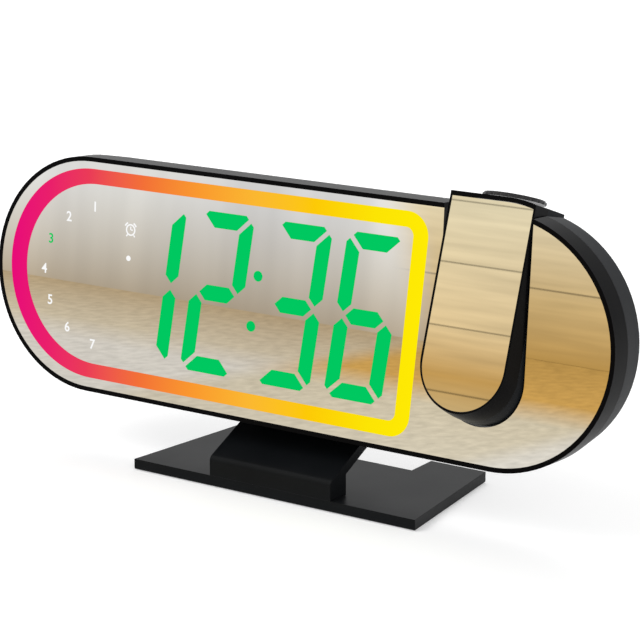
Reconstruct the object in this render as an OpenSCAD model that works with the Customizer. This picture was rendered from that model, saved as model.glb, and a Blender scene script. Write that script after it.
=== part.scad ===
// Projection alarm clock. Millimetres, +Z up; the clock faces -Y.
// The origin is on the surface that it stands on, under the middle of the foot.

/* [Body] */
// Length of the body from end to end
body_w = 210; // [195:1:240]
// Height of the body, and the diameter of its round ends
body_h = 70.7; // [66:0.1:80]
// Thickness of the body from face to back
body_t = 16.7; // [16.4:0.1:22]
// Depth of the front frame, where the side has its crease
frame_t = 7.4; // [7:0.1:10]
// How far the rear cover tapers inwards at the back
back_inset = 1.3; // [0.5:0.1:2]
// Width of the black rim around the mirror
rim = 1.25; // [0.8:0.05:1.5]
// Wall of the case
wall = 1.6; // [1.4:0.1:2]
// Wall of the back
back_wall = 1.8; // [1.5:0.1:2.2]
// Thickness of the mirrors
mirror_t = 1.85; // [1.5:0.05:2.2]
// How far the mirrors sit below the rim
mirror_set = 0.15; // [0.05:0.05:0.3]
// Width of the ledge behind the mirror's edge
ledge_w = 1.2; // [0.8:0.1:1.6]
// Thickness of that ledge
ledge_t = 1.5; // [1:0.1:2.5]
// Thickness of the rear cover's lip inside the frame
lip_t = 0.8; // [0.6:0.1:1.2]
// Height of the body's lower edge above the table
body_up = 20.15; // [18:0.05:30]
// Place of the face, in front of the middle of the foot
face_y = -18.1; // [-20:0.1:-15]
// Lean of the face, in degrees, top to the back
lean = 4; // [0:0.5:6]
// Gap between parts that are put together
fit_gap = 0.1; // [0.05:0.01:0.15]

/* [Projector arm] */
// Distance from the body's right end to the middle of the arm
arm_from_end = 39.5; // [36:0.1:60]
// Width of the arm
arm_w = 26; // [25:0.1:30]
// Distance from the body's lower edge to the arm's lower end
arm_end_up = 12.2; // [8:0.1:16]
// Gap between the arm and the notch that it swings in
arm_gap = 0.55; // [0.3:0.05:0.8]
// Distance from the back to the hinge axis
hinge_back = 2.7; // [2.7:0.1:4]
// Distance from the body's upper edge to the hinge axis
hinge_down = 7.35; // [6:0.05:10]
// Tilt of the arm as it stands, in degrees, lower end forward
arm_tilt = 14.8; // [0:0.1:75]
// Width of the black edge beside the arm's mirror
arm_rim = 0.53; // [0.4:0.01:1]
// Wall of the arm
arm_wall = 1.5; // [1.3:0.1:1.8]
// Wall of the arm's top, which carries the focus ring
top_wall = 1.7; // [1.4:0.1:2]
// Wall behind the arm's mirror
arm_skin = 1; // [0.8:0.1:1.2]
// Diameter of the hinge pins
pin_d = 2.6; // [2.2:0.1:2.8]
// How deep each hinge pin sits in its bush
pin_out = 3; // [2.5:0.1:4]
// How deep each hinge pin sits in the arm
pin_in = 4.2; // [3:0.1:5]
// Wall of the hinge bushes
bush_wall = 0.7; // [0.5:0.05:0.8]
// Radial running clearance of pins, ring and barrel
run_gap = 0.05; // [0.02:0.01:0.08]
// Thickness of the friction washers
washer_t = 0.6; // [0.5:0.05:0.8]

/* [Projector] */
// Diameter of the focus ring
ring_d = 17.4; // [15:0.1:20]
// Height of the focus ring
ring_h = 1.1; // [0.8:0.1:2.5]
// Distance from the arm's middle to the lens axis, to the right
lens_side = 1.5; // [0:0.1:1.6]
// Diameter of the grip notches in the ring's edge
grip_d = 1; // [0.6:0.1:1.2]
// Outside diameter of the lens barrel
barrel_d = 8.4; // [7.4:0.1:8.6]
// Wall of the lens barrel
barrel_wall = 0.8; // [0.6:0.1:1]
// Length of the lens barrel
barrel_len = 14; // [12:0.1:14.5]
// Wall of the focus ring's collar
collar_wall = 0.75; // [0.6:0.05:0.8]
// Thickness of the projector lens in the middle
lens_t = 2.6; // [2:0.1:3.2]
// Distance from the arm's side to the light tunnel
tunnel_side = 6; // [5.6:0.1:7]
// Length of the light tunnel
tunnel_len = 19.5; // [19:0.1:22]
// Side of the projector's display panel
panel_w = 9; // [8:0.1:9.4]
// Diameter of the condenser lens
condenser_d = 9; // [8:0.1:9.4]

/* [Display] */
// Distance from the body's edge to the light band
band_inset = 3.85; // [3.5:0.05:6]
// Width of the light band
band_w = 4.6; // [4:0.1:5]
// Radius of the band's right corners
band_corner = 6.8; // [6:0.1:10]
// Distance from the notch to the band's right edge
band_from_notch = 6.15; // [5:0.05:9]
// Lean of the band's right edge, in degrees
band_lean = 3.8; // [0:0.1:5]
// Height of the middle of the band and the digits above the middle of the face
band_z = 0.4; // [0:0.1:0.6]
// Distance from the band to the digits, above and below
digit_margin = 3.2; // [2:0.1:6]
// Distance from the body's left end to the first digit
digits_from_end = 49.4; // [48:0.1:56]
// Distance from the last digit to the band's right edge
digits_in = 8.1; // [7.5:0.1:12]
// Gap between digits
digit_gap = 4.9; // [4:0.1:7]
// Gap between the colon and the digits beside it
colon_gap = 3.75; // [3.2:0.05:6]
// Width of a segment
seg_w = 4.6; // [3:0.1:4.8]
// Slant of the digits, in degrees
slant = 7.4; // [4:0.1:8]
// Diameter of the colon's dots
colon_d = 3.1; // [2:0.1:4]
// Distance from the band to the day marks, above and below
day_in = 5.7; // [4:0.1:8]
// Side of a day mark's window
day_w = 4; // [3:0.1:5]
// Diameter of the alarm mark's window
alarm_d = 5; // [4:0.1:5.2]
// Diameter of the afternoon mark's window
pm_d = 1.6; // [1:0.1:2.4]

/* [Boards] */
// Thickness of the circuit boards
board_t = 1.6; // [1:0.1:1.8]
// Depth of the light cells behind the mirror
cell_depth = 6.4; // [5.6:0.1:6.6]
// Depth of the band's light guide
guide_t = 3.4; // [2.5:0.1:4.5]
// Side of a display LED
led_w = 2; // [1.2:0.1:2.2]
// Height of a display LED
led_t = 0.7; // [0.5:0.1:1]
// Side of the large controller chip
chip_w = 10; // [7:0.5:12]
// Height of the chips
chip_t = 1.4; // [1:0.1:1.8]

/* [Back] */
// Diameter of the coin cell
coin_d = 20; // [16:0.1:20.5]
// Height of the coin cell
coin_t = 3.2; // [1.6:0.1:3.3]
// Distance from the body's left end to the middle of the coin cell
coin_from_end = 21; // [19:0.1:26]
// Diameter of the battery door
door_d = 24; // [23.5:0.1:25]
// Diameter of a push button
button_d = 6.4; // [5:0.1:7]
// Distance from button to button
button_pitch = 11; // [9:0.1:12]
// How far a button stands out of the back
button_out = 1; // [0.9:0.1:1.6]
// Travel of a push button
button_travel = 0.8; // [0.4:0.1:0.9]
// Distance from the body's left end to the first button
button_from_end = 60; // [48:0.5:64]
// Height of the buttons above the middle of the face
button_z = 18; // [12:0.5:22]
// Outside width of the power socket
usb_w = 9; // [8.9:0.1:9.2]
// Outside height of the power socket
usb_h = 3.3; // [3.2:0.1:3.4]
// Distance from the board's right edge to the power socket
usb_in = 12; // [8:0.5:14]
// Diameter of the buzzer
buzzer_d = 9.5; // [8:0.1:12]
// Height of the buzzer
buzzer_t = 4; // [2.5:0.1:4.2]
// Diameter of the case screws
screw_d = 2.2; // [1.8:0.1:2.4]
// Diameter of the screws' heads
head_d = 4; // [3.5:0.1:4.2]
// Height of the screws' heads
head_t = 1.2; // [0.9:0.1:1.3]

/* [Foot] */
// Width of the foot at its front
foot_w = 97.8; // [88:0.1:110]
// Width of the foot at its back
foot_back_w = 87.1; // [80:0.1:98]
// Depth of the foot
foot_d = 47.7; // [44:0.1:60]
// Thickness of the foot plate
foot_t = 3; // [2.8:0.1:4]
// Width of the slot in the foot's back edge
slot_w = 50; // [40:0.1:56]
// Depth of the slot in the foot's back edge
slot_d = 10.9; // [8:0.1:14]
// Thickness of the foot's mat
mat_t = 0.8; // [0.6:0.1:1]
// How far the mat stands out under the foot
mat_out = 0.3; // [0.2:0.1:0.4]
// Distance from the foot's edge to the mat
mat_in = 1.6; // [1:0.1:3]
// Thickness of the steel weight
weight_t = 1.2; // [0.8:0.1:1.3]
// Width of the neck
neck_w = 42; // [36:0.1:50]
// Thickness of the neck's upright part
neck_leg = 8; // [7:0.1:9]
// Height of the neck's crease above the foot
neck_rise = 5.5; // [4.5:0.1:7]
// Radius of the neck's crease
crease_r = 2; // [1:0.1:3]
// Thickness of the neck's sloping part and tongue
neck_t = 3; // [2.5:0.1:3.5]
// Gap between the neck's slope and the body's lower rear edge
neck_gap = 2.15; // [1:0.05:4]
// Height of the neck's tongue up the back of the body
tongue_h = 24; // [21:0.1:28]

/* [Hidden] */
$fn = 64;
eps = 0.01;

black = "#1b1c1e";
satin = "#2a2b2d";
board_green = "#14532d";

// The face's own frame: x along it, y behind it, z up it from its middle
end_x = (body_w - body_h) / 2;
body_z = body_up + body_h / 2 * cos(lean);
mirror_back = mirror_set + mirror_t;
back_y = body_t - back_wall;
chassis_back = mirror_back + cell_depth;
board_back = chassis_back + board_t;
ledge_in = wall + ledge_w;
lip_d = 1;
lip_in = 1.5;
boss_wall = 1.5;
boss_r = screw_d / 2 + boss_wall;

// The notch is what the arm sweeps about its hinge, with its gap
arm_x = body_w / 2 - arm_from_end;
arm_low = -body_h / 2 + arm_end_up + arm_w / 2;
hinge_y = body_t - hinge_back;
hinge_z = body_h / 2 - hinge_down;
notch_r = arm_w / 2 + arm_gap;
sweep_r = norm([hinge_y, hinge_z - arm_low + arm_w / 2]) + arm_gap;
bush_r = pin_d / 2 + run_gap + bush_wall;
block_wall = 0.55;
block_r = bush_r + block_wall;
block_end = 1;

// Display
board_gap = 0.9;
board_right = arm_x - notch_r - wall - board_gap;
band_h = body_h - 2 * band_inset;
band_right = arm_x - notch_r - band_from_notch;
band_shift = 1.15;
band_narrowing = 1.7;
band_outer_x = -end_x + band_shift;
band_inner_x = band_outer_x + band_narrowing;
arc_steps = 24;
corner_steps = 8;
digit_h = band_h - 2 * band_w - 2 * digit_margin;
digits_left = -body_w / 2 + digits_from_end;
digits_right = band_right - digits_in;
digit_w = (digits_right - digits_left - 2 * digit_gap - 2 * colon_gap) / 4;
colon_x = digits_left + 2 * digit_w + digit_gap + colon_gap;
digit_x = [for (i = [-1.5, -0.5, 0.5, 1.5])
    colon_x + i * (digit_w + digit_gap) + sign(i) * (colon_gap - digit_gap / 2)];
digit_rise = 0.2;
digit_z = band_z + digit_rise;
bar_in = 2;
seg_cut = 1;
middle_in = 3.3;
side_gap = 1;
colon_share = 0.155;
colon_rise = digit_h * colon_share;
days = 7;
day_step = 26.2;
day_shift = 3.9;
day_stretch = 2.8;
day_x = band_inner_x + day_shift;
day_rz = band_h / 2 - band_w - day_in;
day_rx = day_rz + day_stretch;
mark_in = 8;
mark_x = digit_x[0] - mark_in;
alarm_z = 15;
pm_z = 6.9;
led_gap = 0.2;
led_count = 16;

small_chip_w = chip_w * 0.6;
small_chip_h = chip_w * 0.4;
small_chip_z = chip_w * 0.2;

// Fasteners of the case: the first ones hold the board too
side_screw_x = 15;
side_screw_z = 14;
low_screw_x = 12.5;
low_screw_up = 6.9;
left_screw_in = 38.7;
case_screw_at = [[-body_w / 2 + left_screw_in, 0], [colon_x, digit_z],
    [arm_x - low_screw_x, -body_h / 2 + low_screw_up],
    [body_w / 2 - side_screw_x, side_screw_z], [body_w / 2 - side_screw_x, -side_screw_z]];
head_sunk = 0.3;
head_seat = body_t - head_t - head_sunk;
screw_skin = 1.8;
cross_w = 0.5;
cross_share = 0.6;

// Back
coin_x = -body_w / 2 + coin_from_end;
contact_t = 0.4;
coin_back = board_back + contact_t + coin_t;
coin_step = 0.8;
holder_wall = 1;
holder_low = 0.6;
contact_w = 4;
contact_r = coin_d / 4;
tab_t = 0.7;
tab_out = 1;
tab_in = 1.5;
tab_w = 4;
coin_slot_w = 1.6;
coin_slot_share = 0.6;
buttons = 6;
button_x = -body_w / 2 + button_from_end;
flange_t = 0.7;
flange_out = 0.6;
flange_y = back_y - fit_gap;
stem_r = 1.7;
switch_w = 6;
switch_t = flange_y - flange_t - button_travel - fit_gap - board_back;
switch_floor = 0.8;
usb_x = board_right - usb_in;
usb_z = -14;
usb_shell = 0.35;
usb_floor = 1.2;
tongue_t = 0.7;
buzzer_in = 12;
buzzer_x = digit_x[0] + buzzer_in;
buzzer_z = -14;
buzzer_port_r = 0.95;
buzzer_port_d = 0.8;
buzzer_holes = 6;
sound_r = 2.6;
sound_hole_d = 1.2;

// Projector, in the arm's own frame, which is the face's frame while the arm is shut
arm_top = body_h / 2;
arm_front = mirror_back + arm_skin;
lens_x = arm_x + lens_side;
lens_y = (arm_front + back_y) / 2;
ring_gap = 0.15;
ring_z = arm_top + ring_gap;
ring_chamfer = 0.4;
grips = 24;
collar_r = barrel_d / 2 + run_gap + collar_wall;
bore_r = collar_r + run_gap;
retainer_t = 0.6;
retainer_w = 0.7;
retainer_gap = 0.2;
collar_end = 0.45;
retainer_z = arm_top - top_wall - edge_drop(lens_x + collar_r + retainer_w, top_wall)
    - retainer_gap;
collar_low = retainer_z - retainer_t - collar_end;
barrel_sunk = 0.9;
barrel_top = ring_z + ring_h - barrel_sunk;
barrel_low = barrel_top - barrel_len;
lens_sunk = 0.8;
lens_low = barrel_top - lens_t - lens_sunk;
lens_seat = 0.5;
bulge_share = 0.6;
tunnel_down = 5.2;
tunnel_top = arm_top - top_wall - tunnel_down;
tunnel_low = tunnel_top - tunnel_len;
panel_up = 9.4;
panel_z = tunnel_low + panel_up;
panel_t = 1;
panel_lip = 1;
condenser_t = 2.4;
condenser_gap = 0.8;
condenser_z = panel_z - condenser_t - condenser_gap;
light_r = 3.9;
chamber_w = 8;
chamber_h = 2.2;
lamp_w = 5;
lamp_t = 1;
lamp_lens_r = 1.6;
arm_screw_up = 4.1;
arm_screw_down = 4.9;
arm_screw_z = [arm_low + arm_screw_up, arm_low - arm_screw_down];

// Foot and neck
front_y = -foot_d / 2;
foot_top = mat_out + foot_t;
weight_in = 7;
weight_gap = 3;
neck_screw_in = 7;
screw_x = neck_w / 2 - neck_screw_in;
leg_mid_y = front_y + neck_leg / 2;
bore_skin = 1;
bore_h = neck_rise - bore_skin;
crease_z = foot_top + neck_rise;
rear_edge = face_point([body_t, back_inset - body_h / 2]);
neck_slope = atan((rear_edge[1] - neck_gap - crease_z) / (rear_edge[0] - front_y));
tongue_screw_share = 0.65;
tongue_screw_z = -body_h / 2 + tongue_screw_share * tongue_h;
tongue_bite = 2.4;

// Point p of the face's frame, given as [y, z], as [y, z] on the table
function face_point(p) = [face_y + p[0] * cos(lean) + p[1] * sin(lean),
    body_z + p[1] * cos(lean) - p[0] * sin(lean)];
function arc(c, r, a0, a1, steps) =
    [for (i = [0:steps]) let (a = a0 + (a1 - a0) * i / steps) c + r * [cos(a), sin(a)]];
function sheared(points, degrees) = [for (p = points) [p[0] + p[1] * tan(degrees), p[1]]];
function flip(points, sx, sz) = [for (p = points) [p[0] * sx, p[1] * sz]];
function low_corner(points) = [for (k = [0, 1]) min([for (p = points) p[k]])];
function high_corner(points) = [for (k = [0, 1]) max([for (p = points) p[k]])];
function middle(points) = (low_corner(points) + high_corner(points)) / 2;
// Where the line through p with slope m meets the line through q in direction d
function meet(p, m, q, d) =
    let (s = (p[1] - q[1] + m * (q[0] - p[0])) / (d[1] - m * d[0])) q + s * d;
function day_at(i) = let (a = (i - (days - 1) / 2) * day_step)
    [day_x - day_rx * cos(a), -day_rz * sin(a)];
function button_at(i) = [button_x + i * button_pitch, button_z];
// How far the body's edge, inset by inset, has fallen at x, where the round end has begun
function edge_drop(x, inset) = let (r = body_h / 2 - inset, dx = max(x - end_x, 0))
    r - sqrt(r * r - dx * dx);
// Depth at which a screw tower of the rear cover meets the board or the chassis
function tower_end(p) = p[0] < board_right ? board_back : chassis_back;

// ---- helpers ----

module at_face() {
    translate([0, face_y, body_z]) rotate([-lean, 0, 0]) children();
}

module at_arm() {
    at_face() translate([0, hinge_y, hinge_z]) rotate([-arm_tilt, 0, 0])
        translate([0, -hinge_y, -hinge_z]) children();
}

// A shape drawn on the face, made solid from depth y0 to depth y1
module slab(y0, y1) {
    translate([0, y1, 0]) rotate([90, 0, 0]) linear_extrude(y1 - y0) children();
}

// A side view, drawn as (y, z), made solid from x0 to x1
module along_x(x0, x1) {
    translate([x0, 0, 0]) rotate([90, 0, 90]) linear_extrude(x1 - x0) children();
}

// A round bar from depth y0 to depth y1
module rod(at, y0, y1, r) {
    translate([at[0], y0, at[1]]) rotate([-90, 0, 0]) cylinder(h = y1 - y0, r = r);
}

module stadium(w, h) {
    square([w - h, h], center = true);
    for (s = [-1, 1]) translate([s * (w - h) / 2, 0]) circle(d = h);
}

module outline(inset) {
    stadium(body_w - 2 * inset, body_h - 2 * inset);
}

// The body's outer form from depth y0 to y1, its edge moving from inset i0 to inset i1
module tapered(y0, y1, i0, i1) {
    r0 = body_h / 2 - i0;
    r1 = body_h / 2 - i1;
    along_x(-end_x, end_x) polygon([[y0, -r0], [y1, -r1], [y1, r1], [y0, r0]]);
    for (s = [-1, 1]) translate([s * end_x, y0, 0]) rotate([-90, 0, 0])
        cylinder(h = y1 - y0, r1 = r0, r2 = r1, $fn = 128);
}

// The room that the arm turns in: a disc about the hinge with a round edge
module sweep(grow) {
    translate([arm_x, hinge_y, hinge_z]) rotate([0, 90, 0]) rotate_extrude($fn = 128) {
        translate([sweep_r - notch_r, 0]) circle(r = notch_r + grow);
        translate([0, -notch_r - grow]) square([sweep_r - notch_r, 2 * (notch_r + grow)]);
    }
}

// The arm from depth y0 to y1, smaller by inset and, at the top, by top_inset; its lower end
// is round about the hinge, so that the gap to the notch stays the same as it swings
module arm_form(y0, y1, inset, top_inset) {
    intersection() {
        slab(y0, y1) outline(top_inset);
        sweep(-arm_gap - inset);
    }
}

// The front view of the arm's mirror, smaller than the arm by side_inset and top_inset
module arm_view(side_inset, top_inset) {
    intersection() {
        union() {
            translate([arm_x, arm_low]) circle(r = arm_w / 2 - side_inset);
            translate([arm_x - arm_w / 2 + side_inset, arm_low])
                square([arm_w - 2 * side_inset, body_h]);
        }
        outline(top_inset);
    }
}

// A screw that points to -Y, with its head's seat at depth y and its tip at depth tip
module pan_screw(at, y, tip) {
    rod(at, tip, y + eps, screw_d / 2 - fit_gap, $fn = 32);
    difference() {
        rod(at, y, y + head_t, head_d / 2, $fn = 32);
        for (a = [0, 90]) translate([at[0], y + head_t, at[1]]) rotate([0, a, 0])
            cube([head_d * cross_share, head_t, cross_w], center = true);
    }
}

// ---- display shapes, drawn on the face ----

// The band's outer edge, or its inner edge when inset by its width
module band_edge(center_x, inset) {
    r = band_h / 2 - inset;
    k = max(band_corner - inset, 1);
    side = band_right - inset - k;
    top = [side + (r - k) * tan(band_lean), band_z + r - k];
    low = [side - (r - k) * tan(band_lean), band_z - r + k];
    polygon(concat(arc([center_x, band_z], r, 90, 270, arc_steps),
        arc(low, k, 270, 360 - band_lean, corner_steps),
        arc(top, k, -band_lean, 90, corner_steps)));
}

module band_view(grow) {
    difference() {
        band_edge(band_outer_x, -grow);
        band_edge(band_inner_x, band_w + grow);
    }
}

// The horizontal segment at a digit's top; turned over, it is the one at the bottom
function top_bar() = let (w = digit_w / 2 - bar_in, h = digit_h / 2)
    [[-w + seg_cut, h], [-w, h - seg_cut], [-w + seg_w - seg_cut, h - seg_w],
     [w - seg_w + seg_cut, h - seg_w], [w, h - seg_cut], [w - seg_cut, h]];
function middle_bar() = let (w = digit_w / 2 - middle_in, k = seg_w / 2)
    [[-w, 0], [-w + k, k], [w - k, k], [w, 0], [w - k, -k], [-w + k, -k]];
// The upright segment at the upper right; turned over, it is each of the other three
function side_bar() = let (w = digit_w / 2, h = digit_h / 2 - bar_in, k = seg_w / 2)
    [[w, h - seg_cut], [w - seg_cut, h], [w - seg_w, h - seg_w + seg_cut],
     [w - seg_w, side_gap + k], [w - k, side_gap], [w, side_gap + k]];
function segments() = [top_bar(), flip(top_bar(), 1, -1), middle_bar(), side_bar(),
    flip(side_bar(), 1, -1), flip(side_bar(), -1, -1), flip(side_bar(), -1, 1)];
// Segments of the digit d: the first one has no upper left segment, as the marks are there
function segments_of(d) = [for (s = [0:len(segments()) - (d == 0 ? 2 : 1)])
    [for (p = sheared(segments()[s], slant)) p + [digit_x[d], digit_z]]];
function colon_at() = [for (s = [-1, 1])
    [colon_x + s * colon_rise * tan(slant), digit_z + s * colon_rise]];

module digits_view(grow) {
    k = 1 + 2 * grow / seg_w;
    for (d = [0:3], s = segments_of(d))
        polygon([for (p = s) middle(s) + k * (p - middle(s))]);
    for (p = colon_at()) translate(p) circle(d = colon_d + 2 * grow, $fn = 32);
}

module marks_view(grow) {
    for (i = [0:days - 1]) translate(day_at(i)) square(day_w + 2 * grow, center = true);
    translate([mark_x, alarm_z]) circle(d = alarm_d + 2 * grow, $fn = 32);
    translate([mark_x, pm_z]) circle(d = pm_d + 2 * grow, $fn = 32);
}

// ---- foot ----

module foot_outline(inset) {
    k = (foot_w - foot_back_w) / 2 / foot_d;
    fw = foot_w / 2 - inset * (1 + k);
    bw = foot_back_w / 2 - inset * (1 - k);
    by = foot_d / 2 - inset;
    sw = slot_w / 2 + inset;
    sy = foot_d / 2 - slot_d - inset;
    polygon([[-fw, front_y + inset], [fw, front_y + inset], [bw, by], [sw, by], [sw, sy],
        [-sw, sy], [-sw, by], [-bw, by]]);
}

// The weight lies behind the neck's screws and in front of the slot
module weight_view(grow) {
    y0 = front_y + neck_leg + weight_gap;
    y1 = foot_d / 2 - slot_d - weight_gap;
    w = foot_back_w - 2 * weight_in;
    translate([-w / 2 - grow, y0 - grow]) square([w + 2 * grow, y1 - y0 + 2 * grow]);
}

module base_plate() {
    color(satin) difference() {
        translate([0, 0, mat_out]) linear_extrude(foot_t) foot_outline(0);
        translate([0, 0, -eps]) linear_extrude(mat_t + eps) foot_outline(mat_in - fit_gap);
        translate([0, 0, mat_t - eps]) linear_extrude(weight_t + fit_gap + eps)
            weight_view(fit_gap);
        for (s = [-1, 1]) translate([s * screw_x, leg_mid_y, 0]) {
            cylinder(h = foot_top + 1, r = screw_d / 2 + fit_gap, $fn = 32);
            cylinder(h = mat_t + head_t, r = head_d / 2 + fit_gap, $fn = 32);
        }
    }
}

module base_weight() {
    color("#8c9196") translate([0, 0, mat_t]) linear_extrude(weight_t) weight_view(0);
}

module base_mat() {
    color("#111213") linear_extrude(mat_t) foot_outline(mat_in);
}

module base_screws() {
    color("silver") for (s = [-1, 1]) translate([s * screw_x, leg_mid_y, mat_t]) {
        cylinder(h = head_t, r = head_d / 2, $fn = 32);
        cylinder(h = foot_top - mat_t + bore_h, r = screw_d / 2 - fit_gap, $fn = 32);
    }
}

// The crease is rounded, tangent to the upright front and to the slope
function crease_arc(p) = let (t = crease_r * tan((90 - neck_slope) / 2))
    arc([p[0] + crease_r, p[1] - t], crease_r, 90 + neck_slope, 180, corner_steps);

// Side view of the neck: a leg on the foot's front, a slope, and a tongue up the body's back
module neck_side() {
    up = [sin(lean), cos(lean)];
    out = [cos(lean), -sin(lean)];
    m = tan(neck_slope);
    crease = [front_y, crease_z];
    under = crease - [0, neck_t / cos(neck_slope)];
    low = face_point([body_t, -body_h / 2]);
    top = face_point([body_t, -body_h / 2 + tongue_h]);
    leg_back = [front_y + neck_leg, foot_top];
    polygon(concat([[front_y, foot_top], leg_back, meet(under, m, leg_back, [0, 1]),
        meet(under, m, low + neck_t * out, up), top + neck_t * out, top,
        meet(crease, m, low, up)], crease_arc(crease)));
}

module neck() {
    color(satin) difference() {
        along_x(-neck_w / 2, neck_w / 2) neck_side();
        for (s = [-1, 1]) {
            translate([s * screw_x, leg_mid_y, foot_top - eps])
                cylinder(h = bore_h + eps, r = screw_d / 2, $fn = 32);
            at_face() rod([s * screw_x, tongue_screw_z], body_t - 1, body_t + neck_t + 1,
                screw_d / 2 + fit_gap, $fn = 32);
        }
    }
}

module neck_screws() {
    color("silver") at_face() for (s = [-1, 1])
        pan_screw([s * screw_x, tongue_screw_z], body_t + neck_t, back_y - tongue_bite);
}

// ---- case ----

module front_frame() {
    color(black) at_face() difference() {
        union() {
            difference() {
                slab(0, frame_t) outline(0);
                slab(-1, mirror_back) outline(rim);
                slab(mirror_back - eps, mirror_back + ledge_t) outline(ledge_in);
                slab(mirror_back + ledge_t - eps, frame_t + 1) outline(wall);
            }
            intersection() {
                slab(mirror_back, frame_t) outline(0);
                sweep(wall);
            }
        }
        sweep(0);
    }
}

module mirror_panel() {
    color("#c9ccd0") at_face() difference() {
        slab(mirror_set, mirror_back) outline(rim + fit_gap);
        sweep(0);
    }
}

// Block beside the notch, on side s, that holds a hinge bush
module hinge_block(s) {
    long = pin_out + block_end;
    translate([arm_x + s * (notch_r + long / 2), hinge_y, hinge_z])
        cube([long, 2 * block_r, 2 * block_r], center = true);
}

// The part of the rear cover that goes into the front frame
module cover_lip() {
    difference() {
        slab(frame_t - lip_d, frame_t + lip_in) outline(wall + fit_gap);
        slab(frame_t - lip_d - 1, frame_t + lip_in + 1) outline(wall + fit_gap + lip_t);
        slab(0, body_t) translate([arm_x, 0])
            square([2 * (notch_r + wall + fit_gap), 2 * body_h], center = true);
    }
}

module cover_solid() {
    difference() {
        tapered(frame_t, body_t, 0, back_inset);
        tapered(frame_t - eps, back_y, wall, wall + back_inset);
    }
    cover_lip();
    intersection() {
        tapered(frame_t, body_t, 0, back_inset);
        union() {
            sweep(wall);
            for (s = [-1, 1]) hinge_block(s);
        }
    }
    for (p = case_screw_at) rod(p, tower_end(p), body_t - eps, boss_r, $fn = 32);
    for (s = [-1, 1]) rod([s * screw_x, tongue_screw_z], back_y - tongue_bite - 1, body_t - eps,
        boss_r, $fn = 32);
}

module rear_cover() {
    color(black) at_face() difference() {
        cover_solid();
        sweep(0);
        for (s = [-1, 1]) {
            hinge_bar(s, 0, notch_r + pin_out, bush_r);
            rod([s * screw_x, tongue_screw_z], board_back, body_t + 1, screw_d / 2, $fn = 32);
        }
        for (p = case_screw_at) {
            rod(p, 0, body_t + 1, screw_d / 2 + fit_gap, $fn = 32);
            rod(p, head_seat, body_t + 1, head_d / 2 + fit_gap, $fn = 32);
        }
        for (i = [0:buttons - 1])
            rod(button_at(i), back_y - 1, body_t + 1, button_d / 2 + fit_gap, $fn = 48);
        rod([coin_x, 0], back_y - 1, body_t + 1, door_d / 2 + fit_gap, $fn = 96);
        for (a = [60:120:300]) door_tab(a, 2 * fit_gap, back_y - 1, body_t + 1);
        slab(back_y - 1, body_t + 1) translate([usb_x, usb_z])
            stadium(usb_w + 2 * fit_gap, usb_h + 2 * fit_gap);
        for (a = [0:360 / buzzer_holes:359])
            rod([buzzer_x, buzzer_z] + sound_r * [cos(a), sin(a)], back_y - 1, body_t + 1,
                sound_hole_d / 2, $fn = 24);
    }
}

module case_screws() {
    color("silver") at_face() for (p = case_screw_at)
        pan_screw(p, head_seat, mirror_back + screw_skin);
}

// ---- display ----

module display_chassis() {
    color("#e9eaec") at_face() difference() {
        union() {
            slab(mirror_back, chassis_back) outline(ledge_in + fit_gap);
            slab(mirror_back + ledge_t, chassis_back) outline(wall + fit_gap);
        }
        sweep(wall + fit_gap);
        slab(mirror_back - 1, mirror_back + guide_t) band_view(fit_gap);
        for (p = band_led_at())
            rod(p, mirror_back, chassis_back + 1, led_w / sqrt(2) + fit_gap, $fn = 24);
        slab(mirror_back - 1, chassis_back + 1) {
            digits_view(fit_gap);
            marks_view(fit_gap);
        }
        for (p = case_screw_at)
            rod(p, mirror_back + screw_skin, chassis_back + 1, screw_d / 2, $fn = 32);
        slab(frame_t - lip_d - fit_gap, chassis_back + 1) difference() {
            outline(0);
            outline(wall + lip_t + 2 * fit_gap);
        }
    }
}

module band_light_guide() {
    color("#ff7a2f") at_face() slab(mirror_back, mirror_back + guide_t) band_view(0);
}

module segment_light_pipes() {
    color("#00c85f") at_face() slab(mirror_back, chassis_back - led_t - led_gap) digits_view(0);
}

module mark_light_pipes() {
    color("#f4f6f8") at_face() slab(mirror_back, chassis_back - led_t - led_gap) marks_view(0);
}

module display_board() {
    color(board_green) at_face() difference() {
        slab(chassis_back, board_back) intersection() {
            outline(wall + lip_t + 4 * fit_gap);
            translate([board_right - body_w, -body_h]) square([body_w, 2 * body_h]);
        }
        for (p = case_screw_at) rod(p, 0, body_t, screw_d / 2 + fit_gap, $fn = 32);
    }
}

// LEDs under the band: along its top and bottom, and round its left end
function band_led_at() = let (n = led_count / 2, r = (band_h - band_w) / 2,
    x1 = band_right - band_corner)
    concat([for (i = [0:n - 1], s = [-1, 1])
        [band_outer_x + (x1 - band_outer_x) * i / (n - 1), band_z + s * r]],
        [for (i = [1:led_count - 1]) [band_outer_x, band_z]
            + r * [-sin(180 * i / led_count), cos(180 * i / led_count)]]);

module led(at) {
    translate([at[0] - led_w / 2, chassis_back - led_t, at[1] - led_w / 2])
        cube([led_w, led_t, led_w]);
}

module band_leds() {
    color("#f5e9c0") at_face() for (p = band_led_at()) led(p);
}

module segment_leds() {
    color("#d8f5d0") at_face() {
        for (d = [0:3], s = segments_of(d)) led(middle(s));
        for (p = colon_at()) led(p);
        for (i = [0:days - 1]) led(day_at(i));
        led([mark_x, alarm_z]);
    }
}

module controller_chips() {
    color("#202124") at_face() {
        translate([digit_x[2], board_back, -chip_w]) cube([chip_w, chip_t, chip_w]);
        for (x = [-chip_w / 2, 3 * chip_w / 2]) translate([digit_x[2] + x, board_back, small_chip_z])
            cube([small_chip_w, chip_t, small_chip_h]);
    }
}

// ---- back ----

// Where the side contact stands in the holder's wall
module contact_slot(grow) {
    translate([coin_x + coin_d / 2, board_back - grow, -contact_w / 2 - grow])
        cube([contact_t + grow, coin_t - holder_low + grow, contact_w + 2 * grow]);
}

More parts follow.
